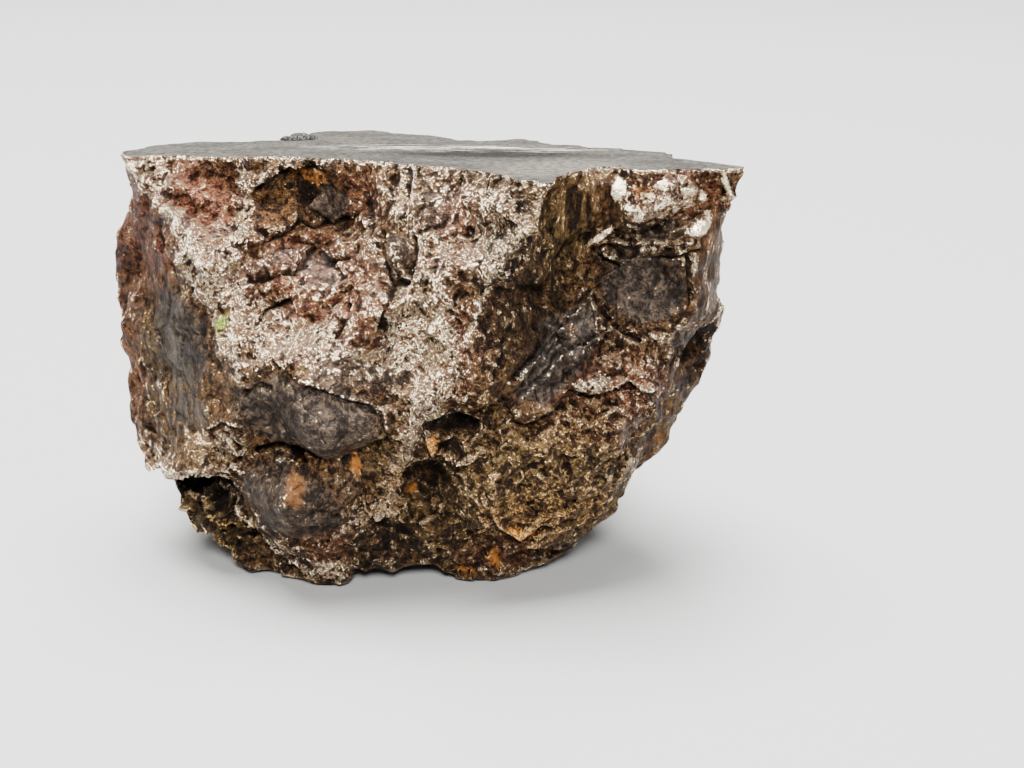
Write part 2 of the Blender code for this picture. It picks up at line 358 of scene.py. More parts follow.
# %% The deep pit, upper left
# Each form below is its kind, then its line or middle, its width or half widths, and its
# push, all in millimetres, and last any turn or lift in degrees. In the pit a hooked
# ledge hangs at the back, and loose flakes and cracks lie round it.
PIT = (
    (shelf, ((-13.6, 35.2), (-12.3, 36.2), (-11.0, 36.7), (-9.8, 37.1), (-8.6, 37.3),
             (-7.8, 36.8)), 0.9, 0.8),
    (lump, (-9.3, 34.0), (4.2, 2.8), -0.8),
    (flake, (-11.9, 32.7), (2.1, 1.3), 0.7, 12, -60),
    (cut, ((-9.7, 32.5), (-10.8, 31.6), (-12.0, 31.3), (-12.8, 30.8)), 0.4, 0.6),
    (flake, (-7.3, 33.9), (1.9, 1.5), 0.6, 0, -90),
    (cut, ((-9.3, 32.3), (-8.2, 32.1), (-7.1, 32.3), (-5.5, 32.7), (-4.9, 33.1)), 0.45, 0.8),
    (flake, (-7.2, 30.5), (2.8, 1.2), 0.7, -25, -70),
    (cut, ((-4.6, 31.1), (-5.2, 30.0), (-6.5, 29.2), (-7.6, 29.0)), 0.45, 0.8),
    (crest, ((-13.4, 29.0), (-12.6, 29.3), (-11.7, 29.6), (-10.7, 29.7), (-9.2, 29.9)),
     0.55, 0.8),
    (lump, (-13.3, 29.0), (0.9, 0.6), 0.6),
    (cut, ((-13.9, 28.5), (-13.0, 28.2), (-12.2, 28.5), (-11.2, 28.9), (-9.2, 29.1)), 0.4, 0.9),
    (flake, (-7.8, 28.4), (1.7, 0.8), 0.4, 0, -90),
    (cut, ((-13.2, 25.0), (-12.3, 25.9), (-11.2, 26.2), (-10.2, 26.7)), 0.35, 0.8),
    (lump, (-10.6, 25.4), (1.6, 0.7), 0.5, -20),
    (cut, ((-7.4, 27.2), (-6.8, 28.4)), 0.3, 0.7),
    (lump, (-6.1, 25.8), (0.6, 1.6), 0.5, -25),
    (cut, ((-5.2, 26.8), (-6.0, 24.6), (-6.8, 24.2)), 0.3, 0.5),
)
print("pit:", len(PIT), "forms")

# %% The light column, the drop and the two long ridges
# A light column stands beside the pit, and right of it hangs a lump like a drop. The
# ridges run down from the rim and part the front into three.
LIGHT_COLUMN_AND_DROP = (
    (crest, ((-15.0, 36.8), (-14.8, 33.0), (-14.9, 29.9)), 1.2, 0.5),
    (crest, ((-0.5, 38.0), (-0.6, 35.1), (-0.8, 33.6)), 0.45, 0.6),
    (crest, ((0.5, 38.0), (0.4, 35.6)), 0.35, 0.4),
    (cut, ((-0.05, 38.0), (-0.1, 35.4)), 0.3, 0.4),
    (lump, (-0.8, 31.0), (1.2, 1.9), 1.2, -8),
    (cut, ((-2.3, 32.2), (-2.1, 30.4), (-1.3, 29.0), (-0.1, 29.1), (0.6, 30.6), (0.5, 32.6)),
     0.4, 0.8),
    (cut, ((-1.2, 28.9), (-1.6, 27.2), (-2.1, 25.2)), 0.6, 0.6),
    (flake, (2.2, 34.4), (1.3, 1.1), 0.4, 20, -60),
    (flake, (4.6, 31.4), (1.6, 1.0), 0.4, 10, -70),
)
RIDGES = (
    (crest, ((-25.1, 37.5), (-23.4, 34.6), (-21, 33.1), (-18.8, 31.4), (-16.7, 28.8),
             (-15.4, 26.6), (-14.4, 23), (-14.5, 20.5)), 1.1, 0.5),
    (crest, ((11.2, 38), (10.2, 34.8), (7.8, 32.2), (5.9, 28.2), (5.3, 25)), 0.9, 0.5),
)
print("column and ridges:", len(LIGHT_COLUMN_AND_DROP + RIDGES), "forms")

# %% The leaning slabs, the pyramid and the right bulge
# Two slabs lean one before the other, with a small pyramid under them. The bulge has
# small knocked facets on its top, a lip that overhangs, and a dark recess below.
SLAB_AND_PYRAMID = (
    (plate, (13.6, 23.8), (4.6, 1.7), 0.4, 50), (plate, (12.2, 20.9), (4.4, 1.8), 0.4, 42),
    (shelf, ((15.7, 27.5), (14.6, 26.6), (13.3, 24.9), (11.5, 23.2), (9.2, 21.8)), 0.6, 0.6),
    (shelf, ((16.6, 24.3), (15.0, 23.2), (13.3, 22.7), (11.5, 21.4), (10.0, 20.4)), 0.6, 0.5),
    (cut, ((15.9, 27.3), (16.6, 25.6), (16.7, 23.6), (16.2, 22.3)), 0.35, 0.6),
    (crest, ((15.5, 27.0), (16.0, 25.2), (16.0, 23.2)), 0.3, 0.35),
    (cut, ((7.9, 19.6), (8.8, 17.9), (10.7, 17.4), (12.9, 18.5)), 0.4, 0.6),
    (cut, ((16.3, 25.9), (17.6, 24.9), (18.7, 24.0), (19.8, 23.3)), 0.4, 1.0),
    (lump, (15.2, 20.5), (1.5, 1.0), 1.0, 5),
    (cut, ((13.7, 19.6), (15.2, 19.1), (16.7, 19.6)), 0.4, 0.8),
)
RIGHT_BULGE = (
    (lump, (17.6, 36.3), (0.7, 1.2), 0.35, -10), (lump, (24.6, 33.3), (1.3, 0.65), 0.4, 20),
    (lump, (21.0, 35.4), (1.2, 0.8), 0.35, 30), (lump, (20.9, 37.0), (0.7, 0.5), 0.3),
    (lump, (23.3, 36.2), (0.9, 0.6), 0.3, -20), (lump, (19.3, 34.2), (0.8, 0.6), 0.3, 20),
    (crest, ((15.2, 30.9), (16.3, 31.9), (17.6, 32.8)), 0.55, 0.5),
    (crest, ((26.1, 38.0), (26.8, 36.6), (27.4, 35.4)), 0.45, 0.4),
    (lump, (21.2, 32.7), (2.4, 0.65), -0.4, 5),
    (crest, ((16.0, 31.2), (17.2, 31.5), (18.5, 31.3), (19.7, 31.7), (21.2, 31.8),
             (23.7, 32.2)), 0.35, 0.45),
    (cut, ((18.0, 30.6), (19.2, 30.4), (20.6, 30.4), (21.8, 30.8), (23.0, 31.2),
           (24.6, 31.3)), 0.3, 0.6),
    (flake, (16.9, 30.5), (1.1, 0.5), 0.7, -10, -60),
    (cut, ((16.0, 30.3), (16.9, 29.9), (17.9, 29.7)), 0.35, 1.0),
    (cut, ((23.6, 30.8), (23.8, 28.9), (23.8, 26.6)), 0.45, 1.5),
    (lump, (25.0, 20.8), (1.7, 3.2), -1.2, -22),
    (shelf, ((16.4, 19.6), (18.4, 20.2), (20.6, 19.4)), 0.7, 0.4),
    (crest, ((10.4, 19.0), (15.4, 17.0), (18.4, 18.4)), 0.5, 0.35),
)
print("slabs and bulge:", len(SLAB_AND_PYRAMID + RIGHT_BULGE), "forms")

# %% The grey bumps, the lower left and the low front
# Two smooth grey bumps stand over each other, with a slit between them. At the lower left
# a shelf overhangs, with the torn tongue below it. Scoops and low crests lead down from
# there to the floor.
GREY_BUMPS = (
    (lump, (-8.6, 17.6), (6.2, 3.6), 0.7, -8),
    (shelf, ((-11.2, 22.4), (-8.2, 21.2), (-5.3, 19.8), (-2.0, 18.4), (-1.8, 17.4)), 0.7, 0.5),
    (flake, (-4.0, 17.2), (1.8, 1.0), 0.4, -20, -60),
    (cut, ((-4.9, 14.2), (-3.2, 14.8), (-1.8, 16.0)), 0.45, 1.1),
    (cut, ((-13.5, 13.5), (-11.8, 14.1), (-9.0, 13.9)), 0.45, 1.5),
    (lump, (-11.3, 13.0), (1.6, 0.45), 0.5),
    (cut, ((-14.4, 19.3), (-12.9, 20.3), (-11.9, 20.2)), 0.4, 0.8),
    (lump, (-10.6, 9.9), (4.6, 3.0), 0.7, -10),
    (flake, (-8.4, 8.2), (1.8, 0.9), 0.4, 20, 90),
    (cut, ((-9.6, 7.3), (-8.0, 7.6), (-6.4, 8.6)), 0.35, 0.5),
)
LOWER_LEFT = (
    (shelf, ((-26.6, 8.2), (-23.8, 8.9), (-21.4, 10.0), (-19.0, 11.0), (-15.2, 11.6)),
     0.9, 1.0),
    (crest, ((-21.4, 9.0), (-18.8, 9.9), (-16.2, 10.1)), 0.3, 0.5),
    (lump, (-19.0, 7.9), (4.2, 1.6), -1.8, 12),
    (cut, ((-18.2, 14.6), (-16.4, 16.0), (-14.6, 16.2)), 0.35, 0.8),
    (shelf, ((-18.8, 13.2), (-17.2, 13.6), (-15.4, 13.4)), 0.5, 0.4),
    (flake, (-20.4, 5.4), (2.2, 0.8), 0.8, -10, -90),
    (flake, (-18.0, 3.6), (1.8, 1.1), 0.8, -30, -120),
    (shelf, ((-22.6, 4.6), (-20.6, 4.8), (-18.6, 4.4), (-17.2, 2.6)), 0.7, 0.6),
    (crest, ((-21.6, 6.3), (-19.4, 6.5), (-17.4, 5.8), (-15.8, 5.9)), 0.4, 0.7),
    (cut, ((-20.2, 5.8), (-18.4, 5.5), (-17.0, 4.6)), 0.35, 0.6),
    (crest, ((-16.4, 8.6), (-14.8, 6.2), (-12.8, 4.6), (-11.2, 3.4), (-9.0, 2.0)), 0.35, 0.8),
    (cut, ((-17.0, 7.4), (-15.6, 5.4), (-13.6, 3.6), (-11.8, 2.4)), 0.6, 0.7),
)
LOW_FRONT = (
    (lump, (4.0, 17.2), (2.6, 1.0), -1.0, -6), (lump, (3.6, 15.0), (1.6, 1.2), -0.8),
    (crest, ((1.6, 17.0), (1.9, 14.6), (3.6, 13.7), (5.4, 14.7)), 0.4, 0.7),
    (lump, (1.2, 10.4), (2.6, 2.4), -1.2, 20),
    (cut, ((0.4, 12.4), (2.6, 12.6), (4.2, 11.8)), 0.4, 0.5),
    (crest, ((1.0, 19.8), (0.0, 15.8), (-1.2, 12.0), (-2.6, 8.0)), 1.0, 0.6),
    (crest, ((6.4, 11.2), (7.6, 7.8), (9.3, 6.4), (11.2, 8.2), (13.5, 8.2)), 0.5, 0.7),
    (cut, ((7.0, 6.6), (9.2, 5.4), (11.6, 6.6), (14.0, 7.0)), 0.6, 0.6),
    (lump, (-2.5, 5.0), (3.0, 2.2), -0.8, 0),
)
FORMS = (PIT + LIGHT_COLUMN_AND_DROP + RIDGES + SLAB_AND_PYRAMID + RIGHT_BULGE
         + GREY_BUMPS + LOWER_LEFT + LOW_FRONT)
print("all forms of the front:", len(FORMS))

# %% Add the forms up
def wandering(places, wander=0.22):
    """The points' places on the front, shifted a little so that no line runs true."""
    across = places[:, 0] + wander * grain(places, 1.6, 2, 40)
    up = places[:, 2] + wander * grain(places, 1.6, 2, 44)
    return across, up


def faces_front(places, directions):
    """1 where the forms of the front apply, eased to 0 round the sides."""
    return eased(-directions[:, 1], -0.15, 0.25) * (places[:, 1] < 1)


def carve_forms(places, directions):
    """Push for each point from all the forms, on the side that faces the front."""
    across, up = wandering(places)
    total = np.zeros(len(places))
    for form, *values in FORMS:
        total += form(across, up, *values)
    return total * faces_front(places, directions)


def rubbed_lit_and_shaded(places, directions):
    """How near each point is to a ridge's edge, for wear and a painted highlight, and how deep
    it lies in a groove or under a ledge, for painted shade.
    """
    across, up = wandering(places)
    ridge, groove = np.zeros(len(places)), np.zeros(len(places))
    for form, line, width, *_ in (f for f in FORMS if f[0] in (cut, crest, shelf)):
        distance, side = side_of_line(across, up, line)
        if form is not cut:
            near = 1 - eased(distance, 0.1 * width, 0.5 * width)
            ridge = np.maximum(ridge, near * ((side > 0) | (form is crest)))
        if form is not crest:
            near = 1 - eased(distance, 0.15 * width, 0.8 * width)
            groove = np.maximum(groove, near * ((side <= 0) | (form is cut)))
    weight = faces_front(places, directions)
    return ridge * weight, groove * weight

# %% [markdown]
# ## Smooth plates, drawn streaks and broken ground
#
# Not all of the crust is rough. Plates of dark oxide are almost smooth, the left and
# right ends are drawn out in upright streaks, and the rest is broken and crumpled. One
# value for each point says how much of each it has. It could be painted by hand as
# vertex weights, but ellipses with wandering edges are quicker to move. The same values
# colour the crust later, so that a smooth plate is also a grey one.

# %% Patches drawn on the front
def painted(table, soft=0.45, wander=0.35, channel=120):
    """The strongest of the patches at each point of the front.

    A patch is an ellipse: its middle, half widths, turn in degrees and amount. The amount
    is whole up to a radius of 1 minus soft, and eased to 0 at 1 plus soft.
    """
    across = points[:, 0] + wander * grain(points, 1.6, 3, channel)
    up = points[:, 2] + wander * grain(points, 1.6, 3, channel + 4)
    amount = np.zeros(len(points))
    for middle, half, turn, strength in table:
        radius = ellipse_radius(across, up, middle, half, turn)
        amount = np.maximum(amount, strength * (1 - eased(radius, 1 - soft, 1 + soft)))
    return amount * in_front

# %% Where the crust is smooth, and where it is streaked
OXIDE_PLATES = (
    ((-20.8, 22.3), (3.0, 4.2), 8, 0.95), ((-8.8, 17.7), (6.6, 3.7), -8, 0.95),
    ((-4.0, 21.6), (4.4, 1.2), -8, 0.7), ((-19.8, 16.4), (2.0, 1.8), 0, 0.7),
    ((-8.0, 28.9), (1.8, 0.9), 0, 0.8), ((-7.4, 33.9), (1.9, 1.5), 0, 0.8),
    ((20.0, 28.0), (3.8, 2.8), 0, 0.9), ((12.5, 22.6), (4.6, 2.3), 48, 1.0),
    ((-10.6, 9.4), (4.6, 3.4), -12, 0.8), ((2.2, 34.6), (1.4, 1.2), 0, 0.7),
    ((20.6, 33.0), (2.4, 0.9), 8, 0.8), ((-5.6, 12.0), (1.6, 2.6), 0, 0.4),
    ((-0.8, 30.8), (1.0, 1.7), -8, 0.6), ((-12.0, 29.4), (2.0, 0.6), 10, 0.6),
)
STREAKED = (
    ((-23.5, 20.0), (6.5, 11.0), 8, 0.5), ((24.0, 18.5), (2.8, 9.0), -22, 0.5),
    ((14.6, 34.0), (3.0, 4.0), 0, 0.9), ((10.5, 27.0), (3.2, 4.6), 10, 0.4),
    ((25.6, 30.0), (1.6, 5.0), 0, 0.9),
)
directions = facing(smoothed(points, 3))
in_front = eased(-directions[:, 1], -0.1, 0.2)
behind = 1 - in_front
oxide = painted(OXIDE_PLATES, 0.18, 0.5, 50)
oxide = np.maximum(oxide, behind * 0.8 * eased(grain(points, 7.0, 2, 58), 0.35, 0.5))
streaked = painted(STREAKED, 0.35, 0.8, 60)
streaked = np.maximum(streaked, behind * 0.7 * eased(grain(points, 9.0, 2, 68), 0.1, 0.5))
print("smooth oxide on", (100 * oxide.mean()).round(1), "% of the points, streaks on",
      (100 * streaked.mean()).round(1), "%")

# %% Broken ground, crumple, streaks and the cracks of the oxide
CRUMPLE_HEIGHT = 0.24   # mm, like the heights and depths below
STREAK_HEIGHT = 0.07
CRACK_DEPTH = 0.3
PLATE_ROUGHNESS = 0.05
FEET = 1.0              # height over which the relief fades out towards the floor

broken = plates(points, 2.3, 0.14, 0.24, 70) + plates(points, 1.1, 0.06, 0.18, 80)
crumple = CRUMPLE_HEIGHT * crumpled(points, 1.9, 3, 90)
drawn_out = points * (1.0, 1.0, 0.22) + (0.25, 0.0, 0.0) * points[:, 2:]
streaks = STREAK_HEIGHT * crumpled(drawn_out, 0.8, 2, 96)
first, second, _, _ = cells(points + 0.5 * lumps(points, 1.5, 100)[:, None], 3.4, 102)
cracks = -CRACK_DEPTH * (1 - eased(second - first, 0.0, 0.07))

rough = 1 - 0.8 * oxide
push = rough * ((broken + crumple) * (1 - 0.5 * streaked) + streaks * streaked)
push += oxide * (cracks + PLATE_ROUGHNESS * crumpled(points, 1.2, 2, 110))
push *= eased(points[:, 2], 0.0, FEET)
points = smoothed(points + directions * push[:, None], 1)
print("fine relief, mm:", push.min().round(2), "to", push.max().round(2))

# %% Push the forms
directions = facing(smoothed(points, 6))
form_push = carve_forms(points, directions)
# A painted highlight on ridge edges, and painted shade in grooves and under ledges, kept for
# the colours.
rubbed_and_lit_ridge, groove = rubbed_lit_and_shaded(points, directions)
points = points + directions * form_push[:, None]
points[:, 2] = np.maximum(points[:, 2], 0.0)
print("forms push between", form_push.min().round(2), "and", form_push.max().round(2), "mm")

# %% [markdown]
# ## Where each colour lies
#
# The crust of an old iron is a patchwork. Red-brown and orange rust lie in the pits,
# smooth plates are dark grey, hollows and recesses are painted almost black as shade,
# and every edge that has been rubbed is flecked with bright metal, with more flecks as a
# painted highlight on crests and upward slopes. Each of these is one value per point. It
# could be a painted image, but that would need the stone unwrapped, and a value on a
# point goes wherever the point goes. The front is laid out as ellipses and bands in
# millimetres. The back, the ends and the underside follow the shape and slow noise, so
# that the stone keeps its character all the way round.

# %% How much each point stands out
HILL_ROUNDS, PEBBLE_ROUNDS = 16, 2      # smoothing that wipes out hills, and pebbles
hills = ((points - smoothed(points, HILL_ROUNDS)) * directions).sum(axis=1)
pebbles = ((points - smoothed(points, PEBBLE_ROUNDS)) * directions).sum(axis=1)
print("hills, mm:", hills.std().round(3), "pebbles, mm:", pebbles.std().round(3))

# %% Flecked and quiet ground: middle, half widths, turn in degrees, amount
# Flecked ground is bare metal, and on faces turned to the light also painted glints.
FLECKED = (
    ((-17.5, 29.0), (3.6, 2.8), -20, 0.75), ((-13.2, 24.6), (4.2, 3.6), 0, 0.55),
    ((1.2, 24.0), (3.4, 5.8), 0, 1.1), ((-4.0, 22.0), (4.0, 1.6), -10, 0.6),
    ((5.0, 33.6), (5.2, 3.6), 0, 0.62), ((8.0, 35.6), (2.6, 1.6), 0, 0.75),
    ((22.0, 25.4), (1.8, 2.3), 0, 0.3), ((19.3, 21.6), (3.4, 2.2), 0, 0.12),
    ((21.4, 35.6), (3.4, 1.6), 10, 0.75), ((20.6, 33.0), (2.4, 0.9), 8, 0.6),
    ((15.3, 20.3), (1.6, 0.9), 5, 0.95), ((12.0, 12.5), (8.5, 5.5), 0, 0.2),
    ((12.6, 33.2), (2.4, 4.0), 0, 0.2), ((10.0, 6.6), (3.0, 1.2), 10, 0.55),
    ((18.0, 18.2), (3.6, 1.0), 10, 0.3), ((-18.0, 13.6), (3.6, 1.6), 20, 0.6),
    ((-24.5, 10.0), (3.0, 1.2), 15, 0.5), ((-19.6, 6.3), (2.8, 0.5), 0, 0.4),
    ((-8.2, 2.2), (2.2, 1.3), 0, 0.7), ((-12.6, 9.4), (3.4, 3.0), 0, 0.18),
    ((-5.8, 8.2), (1.8, 1.3), 30, 0.5), ((-10.0, 34.6), (2.0, 1.0), 0, 0.3),
    ((-22.8, 35.8), (2.4, 1.8), 0, 0.6), ((-6.5, 26.5), (5.5, 3.0), -10, 0.3),
)
QUIET = (
    ((-18.8, 34.8), (3.4, 2.4), 0, 0.55), ((-9.3, 33.8), (3.8, 2.6), 0, 0.5),
    ((-8.0, 28.2), (5.6, 2.6), -10, 0.25), ((-9.2, 17.6), (6.8, 3.8), -8, 1.3),
    ((-10.5, 9.6), (4.4, 3.2), -10, 0.45), ((20.0, 27.6), (3.8, 2.8), 0, 1.0),
    ((12.4, 22.4), (5.0, 3.0), 48, 0.8), ((-18.6, 4.4), (4.4, 3.4), -10, 0.5),
    ((4.0, 33.0), (1.6, 2.6), 0, 0.3), ((3.6, 26.5), (1.4, 3.0), 0, 0.25),
    ((-24.6, 30.0), (3.2, 5.0), 0, 0.35), ((-21.0, 22.0), (3.4, 5.0), 8, 0.3),
)
print("flecked:", len(FLECKED), "patches, quiet:", len(QUIET))

# %% Chips knocked clean, and bright bands, both partly painted glints and highlights: a line, its half width and amount
BARE_CHIPS = (
    ((17.6, 36.3), (0.55, 1.1), -10, 1.9), ((24.6, 33.3), (1.1, 0.5), 20, 1.9),
    ((16.4, 31.9), (1.4, 0.35), 38, 1.6), ((26.8, 36.6), (0.3, 1.4), 20, 1.6),
    ((21.3, 37.0), (0.5, 0.4), 0, 1.5), ((23.4, 36.2), (0.6, 0.4), -20, 1.5),
    ((21.2, 35.2), (0.9, 0.4), 40, 1.4), ((19.4, 34.0), (0.5, 0.4), 20, 1.4),
    ((22.6, 34.6), (0.5, 0.35), 10, 1.5), ((18.4, 35.0), (0.35, 0.6), 0, 1.4),
    ((24.9, 35.4), (0.4, 0.5), 0, 1.4), ((20.3, 36.0), (0.35, 0.3), 0, 1.5),
    ((23.4, 34.9), (0.3, 0.3), 0, 1.5), ((25.4, 34.1), (0.35, 0.25), 0, 1.5),
)
BRIGHT_BANDS = (
    (((-16.0, 23.5), (-12.5, 23.8), (-9.0, 24.6), (-6.0, 23.2), (-2.5, 22.6), (0.5, 22.4)),
     1.0, 0.95),
    (((-25.4, 38.0), (-23.4, 34.6), (-21, 33.1), (-18.8, 31.4), (-16.7, 28.8)), 1.2, 0.75),
    (((-15.4, 26.6), (-14.4, 23.0), (-14.5, 20.5)), 1.2, 0.55),
    (((-15.0, 37.0), (-14.8, 33.0), (-14.9, 29.8)), 0.8, 0.65),
    (((-0.4, 37.8), (-0.4, 35.2), (-0.9, 32.5)), 0.7, 0.5),
    (((1.0, 20.4), (0.0, 15.8), (-1.2, 12.0), (-2.6, 8.0)), 1.3, 0.75),
    (((-16.4, 8.6), (-14.8, 6.2), (-12.8, 4.6), (-11.2, 3.4), (-9.0, 2.0)), 0.25, 0.6),
    (((-10.9, 22.2), (-8.2, 21.1), (-5.3, 19.6), (-2.2, 18.4)), 0.5, 0.6),
    (((9.2, 20.7), (12.0, 23.1), (15.0, 26.7)), 0.2, 0.5),
    (((10.6, 20.6), (13.2, 22.2), (16.2, 24.0)), 0.2, 0.5),
    (((15.0, 26.8), (15.6, 24.6), (16.2, 22.6)), 0.18, 0.4),
    (((16.2, 32.4), (19.0, 31.1), (23.6, 31.6)), 0.22, 0.7),
    (((1.7, 14.2), (3.6, 13.4), (5.4, 14.5)), 0.25, 0.5),
    (((6.4, 11.2), (7.6, 7.8), (9.3, 6.4), (11.2, 8.2), (13.5, 8.2)), 0.35, 0.4),
    (((-26.6, 8.3), (-23.8, 9.0), (-21.4, 10.1), (-19.0, 11.1), (-15.4, 11.7)), 0.2, 0.35),
    (((-20.8, 9.2), (-18.6, 10.0), (-16.0, 10.2)), 0.18, 0.6),
    (((-17.9, 15.0), (-16.4, 16.2), (-14.6, 16.6)), 0.3, 0.7),
)


def banded(table, wander=0.2, channel=130):
    """The strongest of the bands at each point of the front.

    A band's amount is whole within 0.3 of its half width, and eased to 0 at 1.4 of it.
    """
    across = points[:, 0] + wander * grain(points, 1.2, 2, channel)
    up = points[:, 2] + wander * grain(points, 1.2, 2, channel + 4)
    amount = np.zeros(len(points))
    for line, width, strength in table:
        distance, _ = side_of_line(across, up, line)
        near = 1 - eased(distance, 0.3 * width, 1.4 * width)
        amount = np.maximum(amount, strength * near)
    return amount * in_front


print("bare chips:", len(BARE_CHIPS), "bright bands:", len(BRIGHT_BANDS))

# %% Painted shade in hollows and dark crust, red and orange rust, olive stain, and one spot of yellow salt
# Painted shade: hollows, recesses, the undersides of ledges and a low band along the floor are
# darkened here, along with some dark crust.
SHADE_AND_DARK_CRUST = (
    ((10.0, 28.0), (3.6, 8.5), 10, 0.85), ((20.0, 28.4), (4.2, 3.6), 0, 0.8),
    ((20.6, 33.0), (2.6, 0.9), 8, 0.15), ((24.7, 20.8), (2.4, 4.2), -22, 1.0),
    ((25.6, 26.0), (1.6, 7.0), 0, 0.6), ((-2.5, 9.0), (3.0, 3.0), 0, 0.2),
    ((17.5, 12.5), (6.0, 6.0), 0, 0.3), ((2.0, 2.5), (20.0, 2.6), 0, 0.45),
    ((12.5, 21.8), (7.0, 4.6), 48, 0.5), ((22.0, 16.0), (4.0, 4.0), -30, 0.45),
    ((-10.8, 8.0), (4.6, 5.0), 0, 0.65), ((-18.6, 4.0), (4.0, 3.2), -10, 1.0),
    ((-23.0, 33.0), (3.0, 3.0), 20, 0.3), ((-10.6, 9.6), (4.6, 3.0), -10, 0.4),
    ((-19.6, 7.8), (4.4, 1.8), 12, 1.2), ((-25.2, 24.5), (3.4, 11.5), 8, 0.5),
    ((4.0, 17.3), (2.7, 1.0), -6, 0.9), ((1.2, 10.4), (2.6, 2.6), 20, 0.85),
    ((-7.2, 33.4), (2.6, 2.0), 0, 0.6), ((-2.5, 4.2), (4.4, 3.4), 0, 0.9),
    ((-27.2, 27.0), (1.5, 1.5), 0, 0.7), ((12.3, 22.9), (5.0, 2.6), 48, 0.55),
    ((4.0, 6.5), (3.0, 3.0), 0, 0.6), ((-9.0, 17.4), (5.8, 3.2), -8, 0.45),
    ((-21.2, 22.0), (2.6, 5.0), 12, 0.4),
)
RUDDY = (
    ((-18.6, 34.2), (3.8, 2.8), 0, 0.95), ((-8.5, 27.6), (7.0, 4.0), -10, 0.7),
    ((-9.2, 25.5), (1.6, 0.8), -15, 1.2), ((-4.6, 34.4), (2.2, 3.0), 0, 0.5),
    ((4.2, 33.6), (2.4, 2.8), 0, 0.7), ((3.4, 23.5), (2.4, 4.6), 0, 0.6),
    ((22.6, 35.6), (4.2, 2.0), 0, 0.7), ((26.0, 30.0), (1.8, 6.0), 0, 0.2),
    ((-24.8, 30.5), (3.6, 6.0), 0, 0.95), ((17.0, 18.0), (7.0, 4.4), 0, 0.7),
    ((8.0, 3.8), (5.0, 2.0), 0, 0.6), ((-8.6, 4.6), (2.8, 3.0), 0, 0.6),
    ((-27.0, 20.0), (1.8, 7.0), 0, 0.5), ((22.5, 16.5), (3.5, 5.0), -30, 0.35),
    ((12.0, 10.0), (7.0, 4.0), 0, 0.35),
)
ORANGE = (
    ((-12.0, 33.6), (2.4, 2.0), 0, 0.25), ((-9.3, 36.0), (1.8, 0.8), 0, 0.65),
    ((-26.8, 19.5), (1.4, 3.6), 8, 0.4), ((-9.7, 11.3), (1.0, 1.5), 0, 1.0),
    ((-4.8, 13.0), (0.5, 1.1), 10, 1.0), ((1.9, 15.3), (0.6, 1.0), 0, 1.0),
    ((-0.3, 9.4), (0.8, 0.5), 0, 1.0), ((9.3, 6.5), (1.3, 0.8), 0, 1.2),
    ((7.2, 2.6), (1.0, 1.0), 0, 0.7), ((4.4, 1.4), (0.8, 0.8), 0, 0.7),
    ((10.2, 3.4), (0.8, 0.6), 0, 0.5), ((11.0, 7.5), (7.0, 3.5), 10, 0.22),
    ((6.1, 20.0), (0.9, 2.8), 0, 0.22), ((25.8, 30.5), (0.8, 4.5), 0, 0.2),
    ((22.8, 13.2), (1.2, 1.2), 0, 0.45), ((-4.6, 35.4), (1.0, 1.0), 0, 0.3),
    ((23.8, 26.0), (0.5, 2.2), 0, 0.3), ((13.6, 34.5), (0.7, 2.0), 0, 0.2),
    ((19.6, 36.6), (1.2, 0.6), 0, 0.5),
)
OLIVE = (
    ((-18.6, 4.4), (4.0, 2.6), -10, 1.0), ((12.6, 33.0), (2.6, 4.6), 0, 0.5),
    ((12.0, 11.5), (9.0, 7.0), 0, 0.75), ((-22.0, 21.5), (3.0, 6.0), 10, 0.6),
    ((-2.0, 13.0), (2.0, 4.5), 0, 0.5), ((23.0, 15.0), (3.5, 4.0), -25, 0.6),
    ((2.0, 6.0), (5.0, 3.0), 0, 0.5), ((-21.0, 14.0), (4.0, 3.0), 0, 0.5),
)
YELLOW_SALT = (((-16.3, 24.7), (0.45, 0.85), -20, 1.0),)
print("patches:", len(SHADE_AND_DARK_CRUST), "sheltered,", len(RUDDY), "ruddy,", len(ORANGE),
      "orange,", len(OLIVE), "olive")

# %% How close the flecks lie
# What each kind of ground adds to the amount of flecks. On upward slopes the added flecks are a
# painted highlight, and on small crests both wear and a painted highlight.
ANYWHERE, AT_THE_BACK, ON_HILLS, IN_HOLLOWS = 0.14, -0.12, 0.22, -0.3
WEAR_AND_HIGHLIGHT_ON_PEBBLES, HIGHLIGHT_ON_UPWARD_SLOPES, IN_GROOVES, ON_OXIDE = 0.35, 0.25, -0.5, -0.3
KEPT_ON_OXIDE = 0.4         # share of the amount that smooth oxide leaves
KEPT_ON_STREAKS = 0.55
MOST_FLECKS = 1.05          # so close that they almost run together
FEWEST_FLECKS = -0.4        # on the smooth plates: next to none
HILL_HEIGHTS = (0.05, 0.45)     # mm: where a hill begins to count, and counts in full
RIM_DEPTHS = (0.12, 0.5)        # mm below the cut: down to here bare, and no longer bare

raised = eased(hills, *HILL_HEIGHTS)
sunken = eased(-hills, *HILL_HEIGHTS)
slow = [grain(points, 5.0, 3, 140 + 5 * i) for i in range(5)]
# How much each point faces up, for a painted highlight.
faces_up = eased(directions[:, 2], 0.1, 0.7)

flecks = np.maximum(painted(FLECKED), banded(BRIGHT_BANDS))
flecks = np.maximum(flecks, behind * (0.3 * raised + 0.45 * eased(slow[0], 0.1, 0.8)))
flecks *= 1 - (1 - KEPT_ON_STREAKS) * streaked
flecks += ANYWHERE + AT_THE_BACK * behind + ON_HILLS * raised + IN_HOLLOWS * sunken
